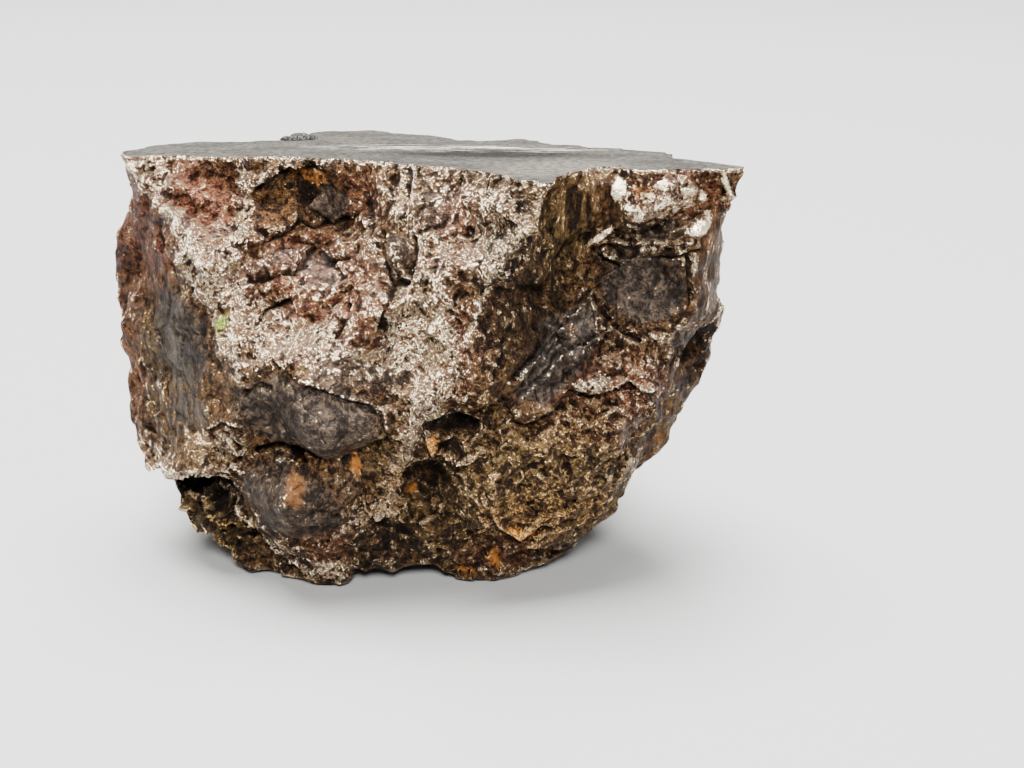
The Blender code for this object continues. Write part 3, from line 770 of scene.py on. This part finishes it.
# Painted highlight: more flecks on small crests and on slopes that face up to the light.
flecks += WEAR_AND_HIGHLIGHT_ON_PEBBLES * eased(pebbles, 0.03, 0.1) + HIGHLIGHT_ON_UPWARD_SLOPES * in_front * faces_up
flecks -= painted(QUIET)
flecks += oxide * (ON_OXIDE - (1 - KEPT_ON_OXIDE) * flecks) + IN_GROOVES * groove
flecks = np.clip(flecks, FEWEST_FLECKS * oxide, MOST_FLECKS)

depth_below_cut = SAW_LEVEL - points @ SAW_NORMAL
rim = 1 - eased(depth_below_cut, *RIM_DEPTHS)
worn = np.maximum(1.1 * rim, painted(BARE_CHIPS, 0.2, 0.15))
# Ridge edges and the tops of ledges: wear, and a painted highlight.
worn = np.maximum(worn, (0.9 - 0.55 * oxide) * rubbed_and_lit_ridge)
flecks = np.where(worn > 0, np.maximum(flecks, worn), flecks)
print("flecks:", flecks.min().round(2), "to", flecks.max().round(2))

# %% Shelter, rust and stain
LOWEST_RUST = 2.0           # mm above the floor below which the underside rusts

# Painted shade on the front, deepest in sunken places and grooves; at the back slow noise lays
# patches of dark crust.
shade_and_dark_crust = np.maximum(painted(SHADE_AND_DARK_CRUST), behind * eased(slow[1], 0.15, 0.7) * 0.8)
shade_and_dark_crust = np.clip(np.maximum(shade_and_dark_crust + 0.4 * sunken, 0.9 * groove), 0, 1)
ruddy = np.clip(np.maximum(painted(RUDDY), 0.8 * behind * eased(slow[2], 0.0, 0.6)), 0, 1)
orange = np.maximum(painted(ORANGE), 0.8 * behind * eased(slow[3], 0.45, 0.8))
low = eased(LOWEST_RUST - points[:, 2], 0.0, LOWEST_RUST)
orange = np.clip(orange + 0.3 * low * (slow[3] > 0.2), 0, 1)
olive = np.clip(np.maximum(painted(OLIVE), 0.7 * behind * eased(slow[4], 0.2, 0.7)), 0, 1)
MASKS = {
    "flecks": flecks, "oxide": oxide, "shade_and_dark_crust": shade_and_dark_crust, "ruddy": ruddy,
    "orange": orange, "olive": olive, "salt": painted(YELLOW_SALT),
    "streaked": streaked, "pebbles": np.clip(pebbles / 0.06, -1, 1),
}
for label, values in MASKS.items():
    print(f"{label:10s} mean {values.mean():.2f}  most {values.max():.2f}")

# %% [markdown]
# ## The saw cut
#
# The finished relief is handed back to Blender, cut with the saw plane, and the cut is
# closed with one flat face. A Boolean would do the same more slowly, and it can stumble
# on a surface this rough. The edge is marked sharp, so that the ground metal and the
# rough crust don't blend into each other.

# %% Back to a mesh, cut and closed
def to_mesh(name, places, faces, masks):
    """A mesh in metres, with one value for each point under each mask's name."""
    mesh = bpy.data.meshes.new(name)
    mesh.from_pydata(places * MM, [], faces.tolist())
    for label, values in masks.items():
        layer = mesh.attributes.new(label, "FLOAT", "POINT")
        layer.data.foreach_set("value", values.astype(np.float32))
    return mesh


def drop_chips(bm):
    """Keep what hangs together with the lowest point and delete the rest."""
    newest = {min(bm.verts, key=lambda vert: vert.co.z)}
    kept = set(newest)
    while newest:
        newest = {e.other_vert(vert) for vert in newest for e in vert.link_edges} - kept
        kept |= newest
    chips = [vert for vert in bm.verts if vert not in kept]
    bmesh.ops.delete(bm, geom=chips, context="VERTS")


def saw(mesh):
    """Cut the mesh at the saw plane, drop loose chips and close the cut."""
    bm = bmesh.new()
    bm.from_mesh(mesh)
    bmesh.ops.bisect_plane(
        bm, geom=bm.verts[:] + bm.edges[:] + bm.faces[:], dist=0.01 * MM,
        plane_co=SAW_AXIS * SAW_LEVEL * MM, plane_no=SAW_AXIS, clear_outer=True)
    drop_chips(bm)
    edge = [e for e in bm.edges if e.is_boundary]
    for e in edge:
        e.smooth = False
    closed = bmesh.ops.contextual_create(bm, geom=edge)
    for face in bm.faces:
        face.smooth = True
    for face in closed["faces"]:
        face.smooth = False
        face.material_index = 1
    bmesh.ops.triangulate(bm, faces=closed["faces"])
    bmesh.ops.recalc_face_normals(bm, faces=bm.faces)
    bm.to_mesh(mesh)
    bm.free()


stone_mesh = to_mesh("stone", points, triangles, MASKS)
saw(stone_mesh)
stone = bpy.data.objects.new("stone", stone_mesh)
bpy.context.scene.collection.objects.link(stone)
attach(stone, "root")
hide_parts("meteorite")
print("stone:", len(stone_mesh.polygons), "faces")

# %% [markdown]
# ## Materials
#
# Two finishes meet on the stone: the rusted crust and the sawn iron. Grain and flecks
# are used by the crust and again by the burr, so each is a node group, made once, which
# works like a function. A group only gives values. What decides how light behaves, the
# Principled shader, stays in each material. Nodes can be joined by hand in the shader
# editor. In a script a few short helpers keep them as readable as a line of arithmetic.

# %% A sheet of nodes
class Sheet:
    """A node tree with short ways to add and join nodes."""

    def __init__(self, tree):
        self.tree = tree

    def node(self, kind, **settings):
        """Add a node and set its properties."""
        added = self.tree.nodes.new(kind)
        for key, value in settings.items():
            setattr(added, key, value)
        return added

    def feed(self, socket, value):
        """Join an output to a socket, or set the socket to a plain value."""
        if isinstance(value, bpy.types.NodeSocket):
            self.tree.links.new(value, socket)
        else:
            socket.default_value = value

    def math(self, operation, a, b=0.0, clamp=False):
        """One step of arithmetic."""
        added = self.node("ShaderNodeMath", operation=operation, use_clamp=clamp)
        self.feed(added.inputs[0], a)
        self.feed(added.inputs[1], b)
        return added.outputs[0]

    def weighted(self, *parts):
        """The sum of values, each times its own weight."""
        total = 0.0
        for value, weight in parts:
            added = self.node("ShaderNodeMath", operation="MULTIPLY_ADD")
            for socket, item in zip(added.inputs, (value, weight, total)):
                self.feed(socket, item)
            total = added.outputs[0]
        return total

    def ramp(self, value, low, high, to_low=0.0, to_high=1.0):
        """Ease a value from one range into another."""
        added = self.node("ShaderNodeMapRange", interpolation_type="SMOOTHSTEP")
        for socket, item in zip(added.inputs, (value, low, high, to_low, to_high)):
            self.feed(socket, item)
        return added.outputs[0]

    def mix(self, amount, a, b, blend="MIX"):
        """Mix two colours."""
        added = self.node("ShaderNodeMix", data_type="RGBA", blend_type=blend)
        self.feed(added.inputs["Factor"], amount)
        for socket, colour in ((added.inputs[6], a), (added.inputs[7], b)):
            self.feed(socket, colour)
        return added.outputs[2]

    def blend(self, value, low, high, first, second):
        """The first colour below low and the second above high, eased between."""
        return self.mix(self.ramp(value, low, high), first, second)

    def stored(self, label):
        """A value that was stored on the mesh."""
        return self.node("ShaderNodeAttribute", attribute_name=label).outputs["Fac"]

    def noise(self, places, scale, detail=3.0, roughness=0.6, twist=0.0):
        """Noise with so many lumps to one unit of the places."""
        added = self.node("ShaderNodeTexNoise", noise_dimensions="3D")
        self.feed(added.inputs["Vector"], places)
        added.inputs["Scale"].default_value = scale
        added.inputs["Detail"].default_value = detail
        added.inputs["Roughness"].default_value = roughness
        added.inputs["Distortion"].default_value = twist
        return added.outputs["Fac"]

    def bump(self, height, distance, strength=1.0):
        """Shading as if the height, times a distance in mm, stood on the surface."""
        added = self.node("ShaderNodeBump")
        added.inputs["Distance"].default_value = distance * MM
        self.feed(added.inputs["Strength"], strength)
        self.feed(added.inputs["Height"], height)
        return added.outputs["Normal"]

# %% Colours, groups and materials
def colour(r, g, b):
    """An opaque colour."""
    return (r, g, b, 1.0)


def new_group(name, inputs, outputs):
    """An empty node group with its sockets, its sheet, and its two end nodes."""
    tree = bpy.data.node_groups.new(name, "ShaderNodeTree")
    for label, kind in inputs:
        tree.interface.new_socket(label, in_out="INPUT", socket_type=kind)
    for label, kind in outputs:
        tree.interface.new_socket(label, in_out="OUTPUT", socket_type=kind)
    sheet = Sheet(tree)
    return sheet, sheet.node("NodeGroupInput"), sheet.node("NodeGroupOutput")


def add_group(sheet, tree, **values):
    """A group node with its inputs fed by name."""
    added = sheet.node("ShaderNodeGroup", node_tree=tree)
    for label, value in values.items():
        sheet.feed(added.inputs[label], value)
    return added.outputs


def new_material(name):
    """A material, its sheet, and the inputs of the shader that comes with it."""
    material = bpy.data.materials.new(name)
    material.use_nodes = True
    shader = material.node_tree.nodes["Principled BSDF"]
    return material, Sheet(material.node_tree), shader.inputs

# %% [markdown]
# ### Grain
#
# Below the size of the mesh the crust goes on being rough. More mesh could carry that,
# but noise in the material costs nothing. The grain group gives it in three sizes. Where
# the stone is streaked, the same noise is drawn out upwards. A fourth output holds thin
# winding wires: they lie where a noise passes through its middle value.

# %% The grain group
DRAWN_OUT = (1.0, 1.0, 0.16)    # a small share makes the noise long that way
LEAN = radians(-10.0)           # the way the streaks lean
WIRE_THINNESS = 12.0            # how steeply a wire's value falls on both sides


def make_grain():
    """Coarse, middling and fine noise in object space, and wires.

    A wire's value is 1 on the noise's middle value and falls to 0 on both sides.
    """
    sheet, given, result = new_group(
        "crust grain", [("Streaked", "NodeSocketFloat")],
        [("Coarse", "NodeSocketFloat"), ("Middling", "NodeSocketFloat"),
         ("Fine", "NodeSocketFloat"), ("Wires", "NodeSocketFloat")])
    scaled = sheet.node("ShaderNodeVectorMath", operation="SCALE")
    sheet.feed(scaled.inputs[0], sheet.node("ShaderNodeTexCoord").outputs["Object"])
    scaled.inputs["Scale"].default_value = 1.0 / MM
    drawn = sheet.node("ShaderNodeMapping", vector_type="POINT")
    sheet.feed(drawn.inputs["Vector"], scaled.outputs[0])
    drawn.inputs["Scale"].default_value = DRAWN_OUT
    drawn.inputs["Rotation"].default_value = (0.0, LEAN, 0.0)
    plain, long = scaled.outputs[0], drawn.outputs[0]
    sheet.feed(result.inputs["Coarse"], sheet.noise(plain, 0.6, 4.0))
    for label, scale, detail in (("Middling", 1.2, 4.0), ("Fine", 3.2, 2.5)):
        mixed = sheet.node("ShaderNodeMix", data_type="FLOAT")
        sheet.feed(mixed.inputs["Factor"], given.outputs["Streaked"])
        sheet.feed(mixed.inputs[2], sheet.noise(plain, scale, detail, 0.65, 0.6))
        sheet.feed(mixed.inputs[3], sheet.noise(long, scale, detail, 0.6))
        sheet.feed(result.inputs[label], mixed.outputs[0])
    level = sheet.math("SUBTRACT", sheet.noise(plain, 2.0, 3.0, 0.6, 1.0), 0.5)
    away = sheet.math("MULTIPLY", sheet.math("ABSOLUTE", level), WIRE_THINNESS)
    sheet.feed(result.inputs["Wires"], sheet.math("SUBTRACT", 1.0, away, clamp=True))
    return sheet.tree


grain_group = make_grain()
print("grain group:", len(grain_group.nodes), "nodes")

# %% [markdown]
# ### Flecks
#
# Rubbed edges show the metal in countless small flecks, in places so close that they
# run together. On crests and upward slopes more flecks are laid as a painted highlight.
# The amount sets how high the grain must stand for a fleck to show. Blender's Pointiness
# finds edges as well, but it changes with the density of the mesh, and the amount is a
# value of the stone's own points. The flecks that stand out most also shine most: their
# brightest colour is a painted glint.

# %% The fleck group
FLECK_LEVEL = 0.650     # the height that grain must reach where the amount is 0
FLECK_SPREAD = 0.135    # how far an amount of 1 lowers that level


def make_flecks():
    """A mask of flecks: 1 where the grain stands above a level set by the amount."""
    sheet, given, result = new_group(
        "bright flecks",
        [("Amount", "NodeSocketFloat"), ("Middling", "NodeSocketFloat"),
         ("Fine", "NodeSocketFloat"), ("Wires", "NodeSocketFloat"),
         ("Raised", "NodeSocketFloat")],
        [("Mask", "NodeSocketFloat"), ("Shine", "NodeSocketFloat")])
    given = given.outputs
    above = sheet.weighted(
        (given["Middling"], 0.5), (given["Fine"], 0.5), (given["Raised"], 0.03),
        (given["Wires"], 0.08), (given["Amount"], FLECK_SPREAD), (1.0, -FLECK_LEVEL))
    sheet.feed(result.inputs["Mask"], sheet.ramp(above, -0.006, 0.012))
    shine = sheet.weighted((given["Wires"], 0.5), (given["Fine"], 1.5), (above, 2.0))
    sheet.feed(result.inputs["Shine"], sheet.ramp(shine, 1.03, 1.20))
    return sheet.tree


fleck_group = make_flecks()
print("fleck group:", len(fleck_group.nodes), "nodes")

# %% [markdown]
# ### The crust
#
# The colour is laid down in layers, most of them the way the crust grew: dark brown
# first, then red and orange rust, olive stain, grey oxide plates, black painted shade in
# the hollows, and last the bright flecks. One noise could mottle it all, but then every
# part of the stone would look the same. Here each layer has its own place, and the grain
# only breaks it up. Bare metal is smoother and metallic, rust is dull, and the rest has
# the gloss of old handled iron.

# %% Colours of the crust, from dark to bright
NEARLY_BLACK = colour(0.0034, 0.0020, 0.0015)
DARK_BROWN = colour(0.0129, 0.0053, 0.0028)
GREY_OXIDE = colour(0.0129, 0.0099, 0.0077)
LIGHT_OXIDE = colour(0.094, 0.073, 0.056)
RED_BROWN = colour(0.129, 0.038, 0.016)
MID_BROWN = colour(0.133, 0.067, 0.025)
OLIVE_STAIN = colour(0.163, 0.107, 0.036)
RUBBED_MAUVE = colour(0.146, 0.093, 0.079)
RUBBED_TAN = colour(0.198, 0.095, 0.041)
PALE_PINK = colour(0.198, 0.093, 0.053)
ORANGE_RUST = colour(0.460, 0.165, 0.026)
SALT = colour(0.400, 0.520, 0.080)
DULL_METAL = colour(0.205, 0.118, 0.064)        # a fleck that has begun to rust
GREY_METAL = colour(0.150, 0.122, 0.098)        # a fleck on an oxide plate
# Bright bare metal, whose whitest flecks stand for painted glints.
BRIGHT_METAL_AND_GLINT = colour(1.000, 0.860, 0.600)
GOLDEN = colour(1.000, 0.740, 0.380)            # laid over metal where there is stain

# %% The crust's colour
def crust_colour(sheet, noise):
    """Brown, red, orange, olive and grey, laid over each other, then black painted shade.

    Each layer is itself mottled: dark where the grain is low, light where it is high.
    """
    coarse, middling, fine = (noise[i] for i in ("Coarse", "Middling", "Fine"))
    mottled = sheet.weighted((middling, 0.6), (fine, 0.4))
    result = sheet.blend(mottled, 0.43, 0.56, DARK_BROWN, MID_BROWN)

    red = sheet.blend(mottled, 0.46, 0.60, RED_BROWN, PALE_PINK)
    red = sheet.blend(mottled, 0.41, 0.49, DARK_BROWN, red)
    result = sheet.mix(sheet.math("MULTIPLY", sheet.stored("ruddy"), 0.9), result, red)
    olive = sheet.blend(mottled, 0.42, 0.57, DARK_BROWN, OLIVE_STAIN)
    result = sheet.mix(sheet.math("MULTIPLY", sheet.stored("olive"), 0.75), result, olive)

    # The crust between many flecks is lighter: wear, and where the flecks stand for light, a
    # painted highlight as well.
    rubbed = sheet.ramp(sheet.stored("flecks"), 0.3, 1.1, 0.0, 0.8)
    rubbed = sheet.math("MULTIPLY", rubbed, sheet.ramp(mottled, 0.40, 0.50))
    rubbed_tone = sheet.blend(coarse, 0.44, 0.56, RUBBED_TAN, RUBBED_MAUVE)
    result = sheet.mix(rubbed, result, rubbed_tone)

    orange = sheet.stored("orange")
    rusty = sheet.ramp(sheet.weighted((orange, 0.35), (middling, 1.0)), 0.58, 0.84)
    rusty = sheet.math("MULTIPLY", sheet.math("MULTIPLY", orange, rusty), 1.2, clamp=True)
    result = sheet.mix(rusty, result, ORANGE_RUST)
    plate_tone = sheet.blend(mottled, 0.44, 0.61, GREY_OXIDE, LIGHT_OXIDE)
    result = sheet.mix(sheet.math("MULTIPLY", sheet.stored("oxide"), 0.85), result, plate_tone)

    # Painted shade: hollows, recesses and the smallest pits go nearly black.
    shade = sheet.ramp(coarse, 0.7, 0.3, 0.4, 0.9)
    shade = sheet.math("MULTIPLY", sheet.stored("shade_and_dark_crust"), shade)
    result = sheet.mix(shade, result, NEARLY_BLACK)
    hollow_shade = sheet.ramp(sheet.stored("pebbles"), -0.9, -0.1, 0.85, 0.0)
    return sheet.mix(hollow_shade, result, NEARLY_BLACK)

# %% The crust
def make_crust():
    """Rusted iron crust with flecks of bare metal."""
    material, sheet, shader = new_material("rusted crust")
    oxide, orange = sheet.stored("oxide"), sheet.stored("orange")
    noise = add_group(sheet, grain_group, Streaked=sheet.stored("streaked"))
    flecks = add_group(
        sheet, fleck_group, Amount=sheet.stored("flecks"), Middling=noise["Middling"],
        Fine=noise["Fine"], Wires=noise["Wires"], Raised=sheet.stored("pebbles"))
    bare = sheet.weighted((noise["Wires"], -0.7), (sheet.stored("flecks"), 1.0))
    bare = sheet.ramp(bare, 1.0, 1.3)

    # The brightest flecks and the bare chips take the brightest metal colour, a painted glint.
    shine = sheet.math("ADD", flecks["Shine"], bare, clamp=True)
    metal = sheet.mix(shine, sheet.mix(oxide, DULL_METAL, GREY_METAL), BRIGHT_METAL_AND_GLINT)
    warm = sheet.weighted((sheet.stored("olive"), 0.9), (orange, 1.0))
    metal = sheet.mix(sheet.math("MINIMUM", warm, 0.9), metal, GOLDEN, "MULTIPLY")
    tone = sheet.mix(flecks["Mask"], crust_colour(sheet, noise), metal)
    salt = sheet.ramp(noise["Middling"], 0.42, 0.52)
    salt = sheet.math("MULTIPLY", sheet.stored("salt"), salt)
    sheet.feed(shader["Base Color"], sheet.mix(salt, tone, SALT))

    rough = sheet.ramp(oxide, 0.0, 1.0, 0.46, 0.38)
    rough = sheet.weighted((orange, 0.3), (flecks["Mask"], -0.2), (rough, 1.0))
    sheet.feed(shader["Roughness"], rough)
    sheet.feed(shader["Metallic"], sheet.ramp(flecks["Mask"], 0.0, 1.0, 0.5, 0.95))
    shader["Specular IOR Level"].default_value = 0.2

    smooth = sheet.weighted((oxide, 0.6), (bare, 0.6))
    height = sheet.weighted(
        (noise["Middling"], 1.0), (noise["Fine"], 0.45), (noise["Wires"], 0.16))
    strength = sheet.math("SUBTRACT", 1.0, smooth, clamp=True)
    sheet.feed(shader["Normal"], sheet.bump(height, 0.9, strength))
    return material


crust = make_crust()
print("crust:", len(crust.node_tree.nodes), "nodes")

# %% [markdown]
# ### The sawn face
#
# The cut was ground flat and never finely polished. Low along the face it shows as grey
# metal with thin bright lines from the saw, all the same way, a broad darker band across
# it and a paler lip at the front. A Wave texture would draw the lines evenly spaced, so
# they are noise instead, drawn out along the face. The band and the lip are soft ellipses.

# %% Patterns on a flat face
FLATTENED = 1000.0      # a scale so large that height plays no part


def soft_ellipse(sheet, space, middle, half, turn, core=0.5):
    """1 in the core of an ellipse on the face, in millimetres, eased to 0 at its edge."""
    local = sheet.node("ShaderNodeMapping", vector_type="TEXTURE")
    sheet.feed(local.inputs["Vector"], space)
    local.inputs["Location"].default_value = (middle[0] * MM, middle[1] * MM, 0.0)
    local.inputs["Rotation"].default_value = (0.0, 0.0, radians(turn))
    local.inputs["Scale"].default_value = (half[0] * MM, half[1] * MM, FLATTENED)
    length = sheet.node("ShaderNodeVectorMath", operation="LENGTH")
    sheet.feed(length.inputs[0], local.outputs[0])
    return sheet.ramp(length.outputs["Value"], core, 1.0, 1.0, 0.0)


def stretched(sheet, space, width, depth, turn=0.0, detail=3.0):
    """Noise whose lumps have one size across the face and another from front to back."""
    drawn = sheet.node("ShaderNodeMapping")
    sheet.feed(drawn.inputs["Vector"], space)
    drawn.inputs["Scale"].default_value = (1 / (width * MM), 1 / (depth * MM), 0.0)
    drawn.inputs["Rotation"].default_value = (0.0, 0.0, radians(turn))
    return sheet.noise(drawn.outputs[0], 1.0, detail)

# %% The sawn face
DARK_IRON = colour(0.080, 0.076, 0.068)
WORN_IRON = colour(0.280, 0.262, 0.232)
GREY_IRON = colour(0.440, 0.410, 0.360)
PALE_IRON = colour(0.680, 0.620, 0.530)
CLEAN_IRON = colour(1.000, 0.950, 0.850)


def make_sawn_face():
    """Ground grey iron: a dark band, a pale front lip and thin bright saw lines."""
    material, sheet, shader = new_material("sawn iron")
    space = sheet.node("ShaderNodeTexCoord").outputs["Object"]
    clouds = stretched(sheet, space, 5.0, 2.5)
    specks = stretched(sheet, space, 0.6, 0.5, 0.0, 4.0)
    lines = stretched(sheet, space, 9.0, 0.35, 3.0)

    tone = sheet.blend(clouds, 0.38, 0.62, WORN_IRON, GREY_IRON)
    lip = soft_ellipse(sheet, space, (12.5, -9.5), (9.0, 5.5), 20, 0.4)
    tone = sheet.mix(sheet.math("MULTIPLY", lip, 0.8), tone, PALE_IRON)
    band = soft_ellipse(sheet, space, (6.5, -1.2), (13.0, 3.4), -4, 0.35)
    band = sheet.math("MULTIPLY", band, sheet.ramp(clouds, 0.30, 0.52, 0.35, 1.0))
    tone = sheet.mix(band, tone, DARK_IRON)
    near = soft_ellipse(sheet, space, (4.0, 2.2), (17.0, 3.0), -3, 0.5)
    bright = sheet.math("MULTIPLY", near, sheet.ramp(lines, 0.55, 0.60))
    sheet.feed(shader["Base Color"], sheet.mix(bright, tone, CLEAN_IRON))

    rough = sheet.weighted((sheet.ramp(specks, 0.3, 0.7, 0.24, 0.34), 1.0), (bright, 0.25))
    sheet.feed(shader["Roughness"], rough)
    shader["Metallic"].default_value = 1.0
    shader["Specular Tint"].default_value = colour(0.8, 0.78, 0.75)
    sheet.feed(shader["Normal"], sheet.bump(lines, 0.05))
    return material


sawn_face = make_sawn_face()
stone_mesh.materials.append(crust)
stone_mesh.materials.append(sawn_face)
print("sawn face:", len(sawn_face.node_tree.nodes), "nodes")

# %% [markdown]
# ## The burr
#
# Where the saw broke through at the far rim it left a short rough ridge of crust
# standing on the cut. A bevelled curve could make it. Rings of points strung along a
# line are as quick, and the noise that shapes the stone can push them. The rings are
# closed to a point at both ends and sunk a little into the face, so that no gap shows.

# %% A ridge of rings
BURR_ENDS = np.array(((-13.3, 7.5), (-9.7, 8.4)))       # on the face, seen from above
BURR_HEIGHT, BURR_WIDTH, BURR_SUNK = 0.62, 0.5, 0.12
BURR_RINGS, BURR_SIDES = 72, 28
LARGE_KNOBS, SMALL_KNOBS = (0.30, 0.55), (0.16, 0.25)   # strength and size


def burr_points():
    """Rings of points round a line on the face, pushed in and out by noise.

    A ring's size follows the root of a sine along the line, so that both ends close.
    """
    along = np.linspace(0, 1, BURR_RINGS)[:, None]
    turn = np.linspace(0, 2 * np.pi, BURR_SIDES, endpoint=False)[None, :]
    size = np.sqrt(np.sin(np.pi * along).clip(0))
    start, end = BURR_ENDS
    middle = start + (end - start) * along
    across = np.array((start[1] - end[1], end[0] - start[0]))
    across /= np.linalg.norm(across)
    side = BURR_WIDTH * size * np.cos(turn)
    rise = BURR_HEIGHT * size * np.maximum(np.sin(turn), -BURR_SUNK / BURR_HEIGHT)
    places = np.stack((middle[:, :1] + side * across[0], middle[:, 1:] + side * across[1],
                       rise), axis=2).reshape(-1, 3)
    knobs = sum(strength * lumps(places, spacing, channel) for (strength, spacing), channel
                in ((LARGE_KNOBS, 200), (SMALL_KNOBS, 204)))
    sideways = 0.5 * knobs * size.repeat(BURR_SIDES, axis=1).ravel()
    places[:, :2] += sideways[:, None] * across
    places[:, 2] *= 1 + 1.3 * knobs * (places[:, 2] > 0)
    face_height = (SAW_LEVEL - places[:, :2] @ SAW_NORMAL[:2]) / SAW_NORMAL[2]
    places[:, 2] += face_height
    return places


def ring_faces(rings, sides):
    """Quads between each ring and the next, from one end to the other."""
    ring = np.arange(rings - 1)[:, None] * sides
    here = np.arange(sides)[None, :]
    after = (here + 1) % sides
    beyond = ring + sides
    corners = (ring + here, ring + after, beyond + after, beyond + here)
    return np.stack(corners, axis=2).reshape(-1, 4)


def make_burr():
    """The ridge as one closed mesh: the points of each end ring become one."""
    mesh = to_mesh("saw_burr", burr_points(), ring_faces(BURR_RINGS, BURR_SIDES), {})
    bm = bmesh.new()
    bm.from_mesh(mesh)
    bmesh.ops.remove_doubles(bm, verts=bm.verts, dist=WELD)
    bmesh.ops.recalc_face_normals(bm, faces=bm.faces)
    bm.to_mesh(mesh)
    bm.free()
    mesh.shade_smooth()
    return mesh


burr = bpy.data.objects.new("saw_burr", make_burr())
bpy.context.scene.collection.objects.link(burr)
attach(burr, "root")
print("burr:", len(burr.data.polygons), "faces")

# %% Its finish
FEW = -0.2      # the burr's amount of flecks, the same all over


def make_burr_finish():
    """Dark torn crust with a few flecks, from the same grain as the stone's."""
    material, sheet, shader = new_material("torn crust")
    noise = add_group(sheet, grain_group, Streaked=0.0)
    flecks = add_group(sheet, fleck_group, Amount=FEW, Middling=noise["Middling"],
                       Fine=noise["Fine"], Wires=noise["Wires"], Raised=0.0)
    tone = sheet.blend(noise["Middling"], 0.42, 0.6, NEARLY_BLACK, GREY_OXIDE)
    sheet.feed(shader["Base Color"], sheet.mix(flecks["Mask"], tone, DULL_METAL))
    sheet.feed(shader["Metallic"], sheet.ramp(flecks["Mask"], 0.0, 1.0, 0.2, 0.7))
    shader["Roughness"].default_value = 0.5
    sheet.feed(shader["Normal"], sheet.bump(noise["Fine"], 0.3))
    return material


burr_finish = make_burr_finish()
burr.data.materials.append(burr_finish)
print("burr finish:", len(burr_finish.node_tree.nodes), "nodes")

# %% [markdown]
# ## Floor, light and camera
#
# The stone stands on a plain pale floor. One large soft light hangs above it and a
# little behind: it lights the sawn face and draws a soft shadow under the front. A
# smaller one stands well in front and wakes the glints of the metal. The world adds a
# little light from all round. A picture of a room could light the stone too, but two
# square lights are easier to reason about, and each can be moved alone.

# %% The floor
FLOOR_SIZE = 6.0        # metres: wide enough to reach past the camera's view


def floor_finish():
    """Matt, pale and plain."""
    material, _, shader = new_material("pale floor")
    shader["Base Color"].default_value = colour(0.27, 0.27, 0.266)
    shader["Roughness"].default_value = 0.75
    return material


def add_floor(size):
    """A flat pale square that the stone stands on."""
    half = size / 2
    mesh = bpy.data.meshes.new("floor")
    corners = [(-half, -half, 0), (half, -half, 0), (half, half, 0), (-half, half, 0)]
    mesh.from_pydata(corners, [], [(0, 1, 2, 3)])
    mesh.materials.append(floor_finish())
    added = bpy.data.objects.new("floor", mesh)
    bpy.context.scene.collection.objects.link(added)
    return added


floor = add_floor(FLOOR_SIZE)
print("floor:", FLOOR_SIZE, "m square")

# %% The lights
TARGET = Vector((0.0, 0.0, 0.02))       # about the middle of the stone, in metres


def add_light(name, place, size, watts):
    """A square soft light at a place, turned to the stone."""
    lamp = bpy.data.lights.new(name, "AREA")
    lamp.size = size
    lamp.energy = watts
    light = bpy.data.objects.new(name, lamp)
    light.location = place
    light.rotation_euler = (TARGET - Vector(place)).to_track_quat("-Z", "Y").to_euler()
    bpy.context.scene.collection.objects.link(light)
    return light


lights = (
    add_light("overhead", (-0.09, 0.18, 1.22), size=0.90, watts=144.0),
    add_light("front fill", (0.12, -1.20, 1.02), size=0.42, watts=64.0),
)
world = bpy.data.worlds.new("studio")
world.use_nodes = True
background = world.node_tree.nodes["Background"].inputs
background["Color"].default_value = colour(1.0, 0.99, 0.97)
background["Strength"].default_value = 0.26
bpy.context.scene.world = world
print("lights:", [light.name for light in lights])

# %% The camera
# It stands before the stone, a little above it, and looks twenty degrees down.
CAMERA_PLACE = (0.00872, -0.13396, 0.06402)
CAMERA_PITCH = radians(20)
FOCAL_PX = 1500.0
IMAGE_WIDTH_PX = 1024.0

lens = bpy.data.cameras.new("camera")
lens.sensor_width = 36.0
lens.lens = FOCAL_PX / IMAGE_WIDTH_PX * lens.sensor_width
lens.clip_start = 0.005
camera = bpy.data.objects.new("camera", lens)
camera.location = CAMERA_PLACE
camera.rotation_euler = (radians(90) - CAMERA_PITCH, 0.0, 0.0)
bpy.context.scene.collection.objects.link(camera)
bpy.context.scene.camera = camera
print("camera:", CAMERA_PLACE, "lens, mm:", round(lens.lens, 1))
